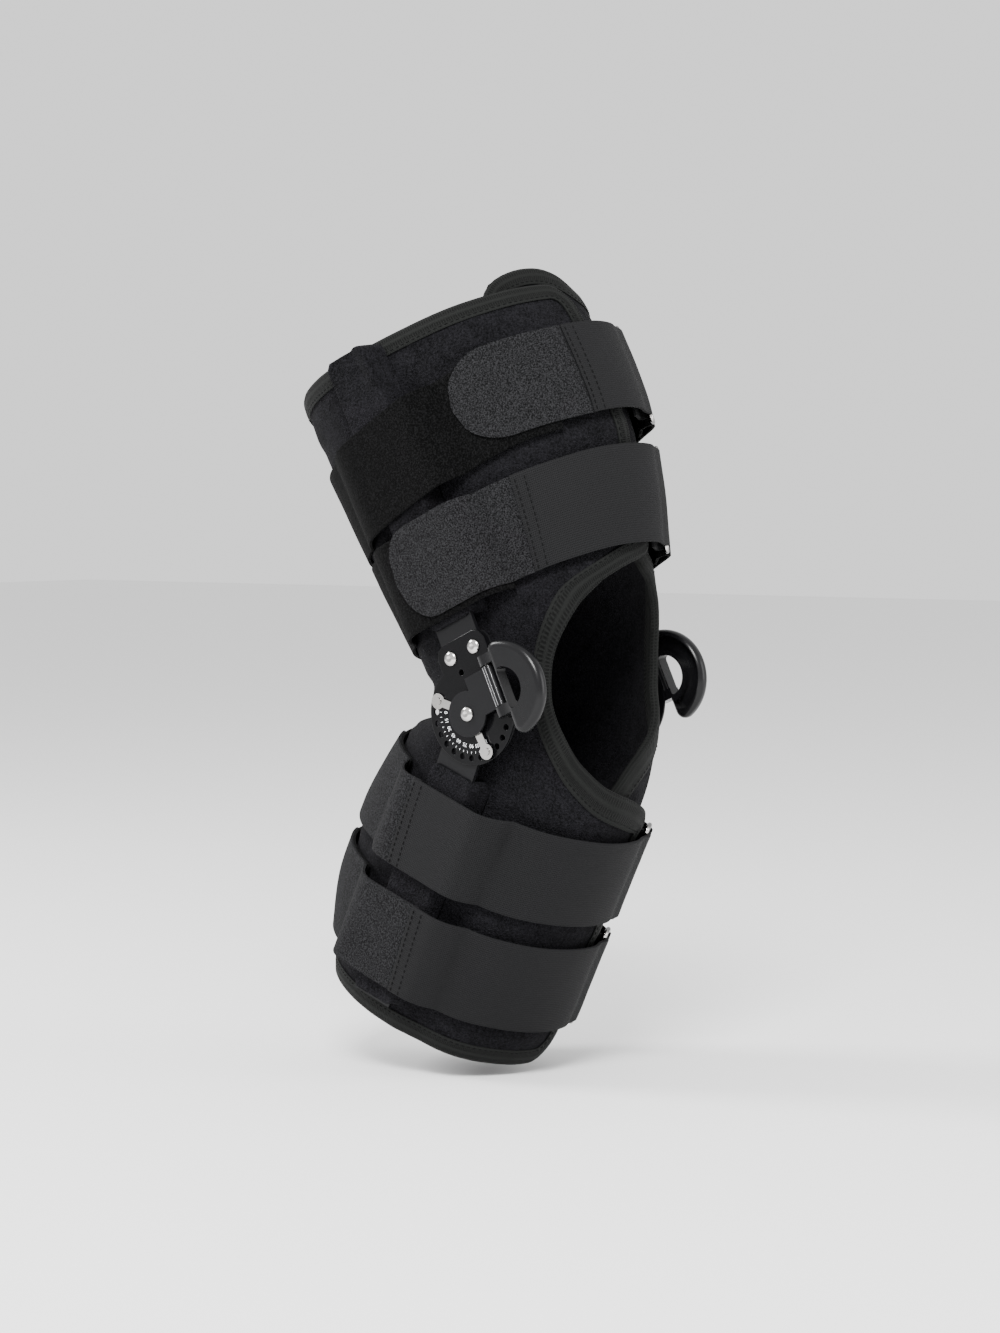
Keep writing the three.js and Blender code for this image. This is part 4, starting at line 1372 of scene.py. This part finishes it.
def dial_tick(degrees):
    x, y = dial_spot(degrees, TICK_CIRCLE)
    bpy.ops.object.select_all(action="DESELECT")
    bpy.ops.mesh.primitive_cube_add(size=1,
                                    location=(x * MM, y * MM, (DIAL_X + PLATE + 0.03) * MM),
                                    rotation=(0, 0, math.radians(degrees - THIGH_TILT)))
    tick = bpy.context.object
    tick.scale = [size * MM for size in TICK_SIZE]
    bpy.ops.object.transform_apply(location=True, rotation=True, scale=True)
    return tick


def make_numbers(turn):
    """Generic degree numbers and ticks round the dial, numbers mirrored first if turn is -1."""
    prints = []
    for degrees in range(0, NUMBER_LAST + 1, STOP_STEP):
        prints += [dial_number(degrees, turn), dial_tick(degrees)]
        if degrees < NUMBER_LAST:
            prints.append(dial_tick(degrees + STOP_STEP / 2))
    bpy.ops.object.select_all(action="DESELECT")
    for obj in prints:
        obj.select_set(True)
    bpy.context.view_layer.objects.active = prints[0]
    bpy.ops.object.join()
    return bpy.context.object


UPPER_STOP, LOWER_STOP = -15, 120
PIVOT_SHAFT, RIVET_SHAFT = 3, 2


def hinge_pieces():
    """Rows of one hinge's piece, node, material, slot and body."""
    tail = HINGE_X - 0.3
    rows = [
        (make_dial(), "dial_plate", glossy, "dial_black", "root"),
        (make_back_plate(), "back_plate", coated, "coated_metal", "root"),
        (make_cover(), "cover_plate", coated, "coated_metal", "root"),
        (make_handle(), "lock_handle", plastic, "handle_plastic", "lock_handle"),
        (make_pointer(UPPER_STOP, POINTER_X), "stop_pointer_upper", bright, "bright_steel",
         "stop_pointer_upper"),
        (make_pointer(LOWER_STOP, POINTER_X + 1.1), "stop_pointer_lower", bright, "bright_steel",
         "stop_pointer_lower"),
        (make_rivet(0, 0, PIVOT_SHAFT, tail, COVER_X + PLATE + 0.3), "pivot_rivet", bright,
         "bright_steel", "root"),
        (knuckle_bar(PIN_RADIUS, EAR_FAR), "handle_pin", bright, "bright_steel", "root"),
    ]
    for name, (x, y) in RIVETS.items():
        rows.append((make_rivet(x, y, RIVET_SHAFT, tail, DIAL_X + PLATE + 0.3),
                     f"arm_rivet_{name}", bright, "bright_steel", "root"))
    return rows


def make_hinges():
    for obj, node, material, slot, body in hinge_pieces():
        for name, side in SIDES.items():
            label = f"{node}_{name}"
            rider = body if body == "root" else f"{body}_{name}"
            dress(put_on_side(obj, f"finished_{label}", side), material, slot, rider, [label])
        bpy.data.objects.remove(obj, do_unlink=True)
    for name, side in SIDES.items():
        numbers = make_numbers(-side)
        dress(put_on_side(numbers, f"dial_numbers_{name}", side), white_print, "dial_black")
        bpy.data.objects.remove(numbers, do_unlink=True)
        # Bright bars along each knuckle: painted highlights
        ridges = make_ridges()
        dress(put_on_side(ridges, f"knuckle_highlight_ridges_{name}", side), knuckle_highlight_steel, "coated_metal")
        bpy.data.objects.remove(ridges, do_unlink=True)


make_hinges()

for side_name in SIDES:
    for limb_name in ("thigh", "calf"):
        arm = nodes[f"arm_{limb_name}_{side_name}"]
        arm.data.materials.clear()
        arm.data.materials.append(coated)


# Floor, lights and world. A light's row holds its name, place, power in watts and size
LIGHTS = (
    ("key", (-1.6, -0.9, 1.6), 110, 0.8),
    ("fill", (0.9, -2.0, 0.5), 26, 1.4),
    ("rim", (-0.9, 1.6, 1.2), 50, 0.7),
)
FLOOR_SIZE = 14
FLOOR_DROP = 0.004
WORLD_STRENGTH = 1.25


def make_stage():
    bpy.ops.object.select_all(action="DESELECT")
    bpy.ops.mesh.primitive_plane_add(size=FLOOR_SIZE, location=(0, 0, cad_low[2] - FLOOR_DROP))
    floor = bpy.context.object
    floor.name = "floor"
    material, _, shader = start_material("pale_floor", roughness=0.9)
    shader.inputs["Base Color"].default_value = (0.86, 0.86, 0.86, 1)
    floor.data.materials.append(material)
    world = bpy.data.worlds.new("studio")
    world.use_nodes = True
    background = world.node_tree.nodes["Background"]
    background.inputs["Color"].default_value = (1, 1, 1, 1)
    background.inputs["Strength"].default_value = WORLD_STRENGTH
    bpy.context.scene.world = world
    for name, place, energy, size in LIGHTS:
        bpy.ops.object.light_add(type="AREA", location=place)
        light = bpy.context.object
        light.name = name
        light.data.energy = energy
        light.data.size = size
        light.rotation_euler = Vector(place).to_track_quat("Z", "Y").to_euler()


make_stage()
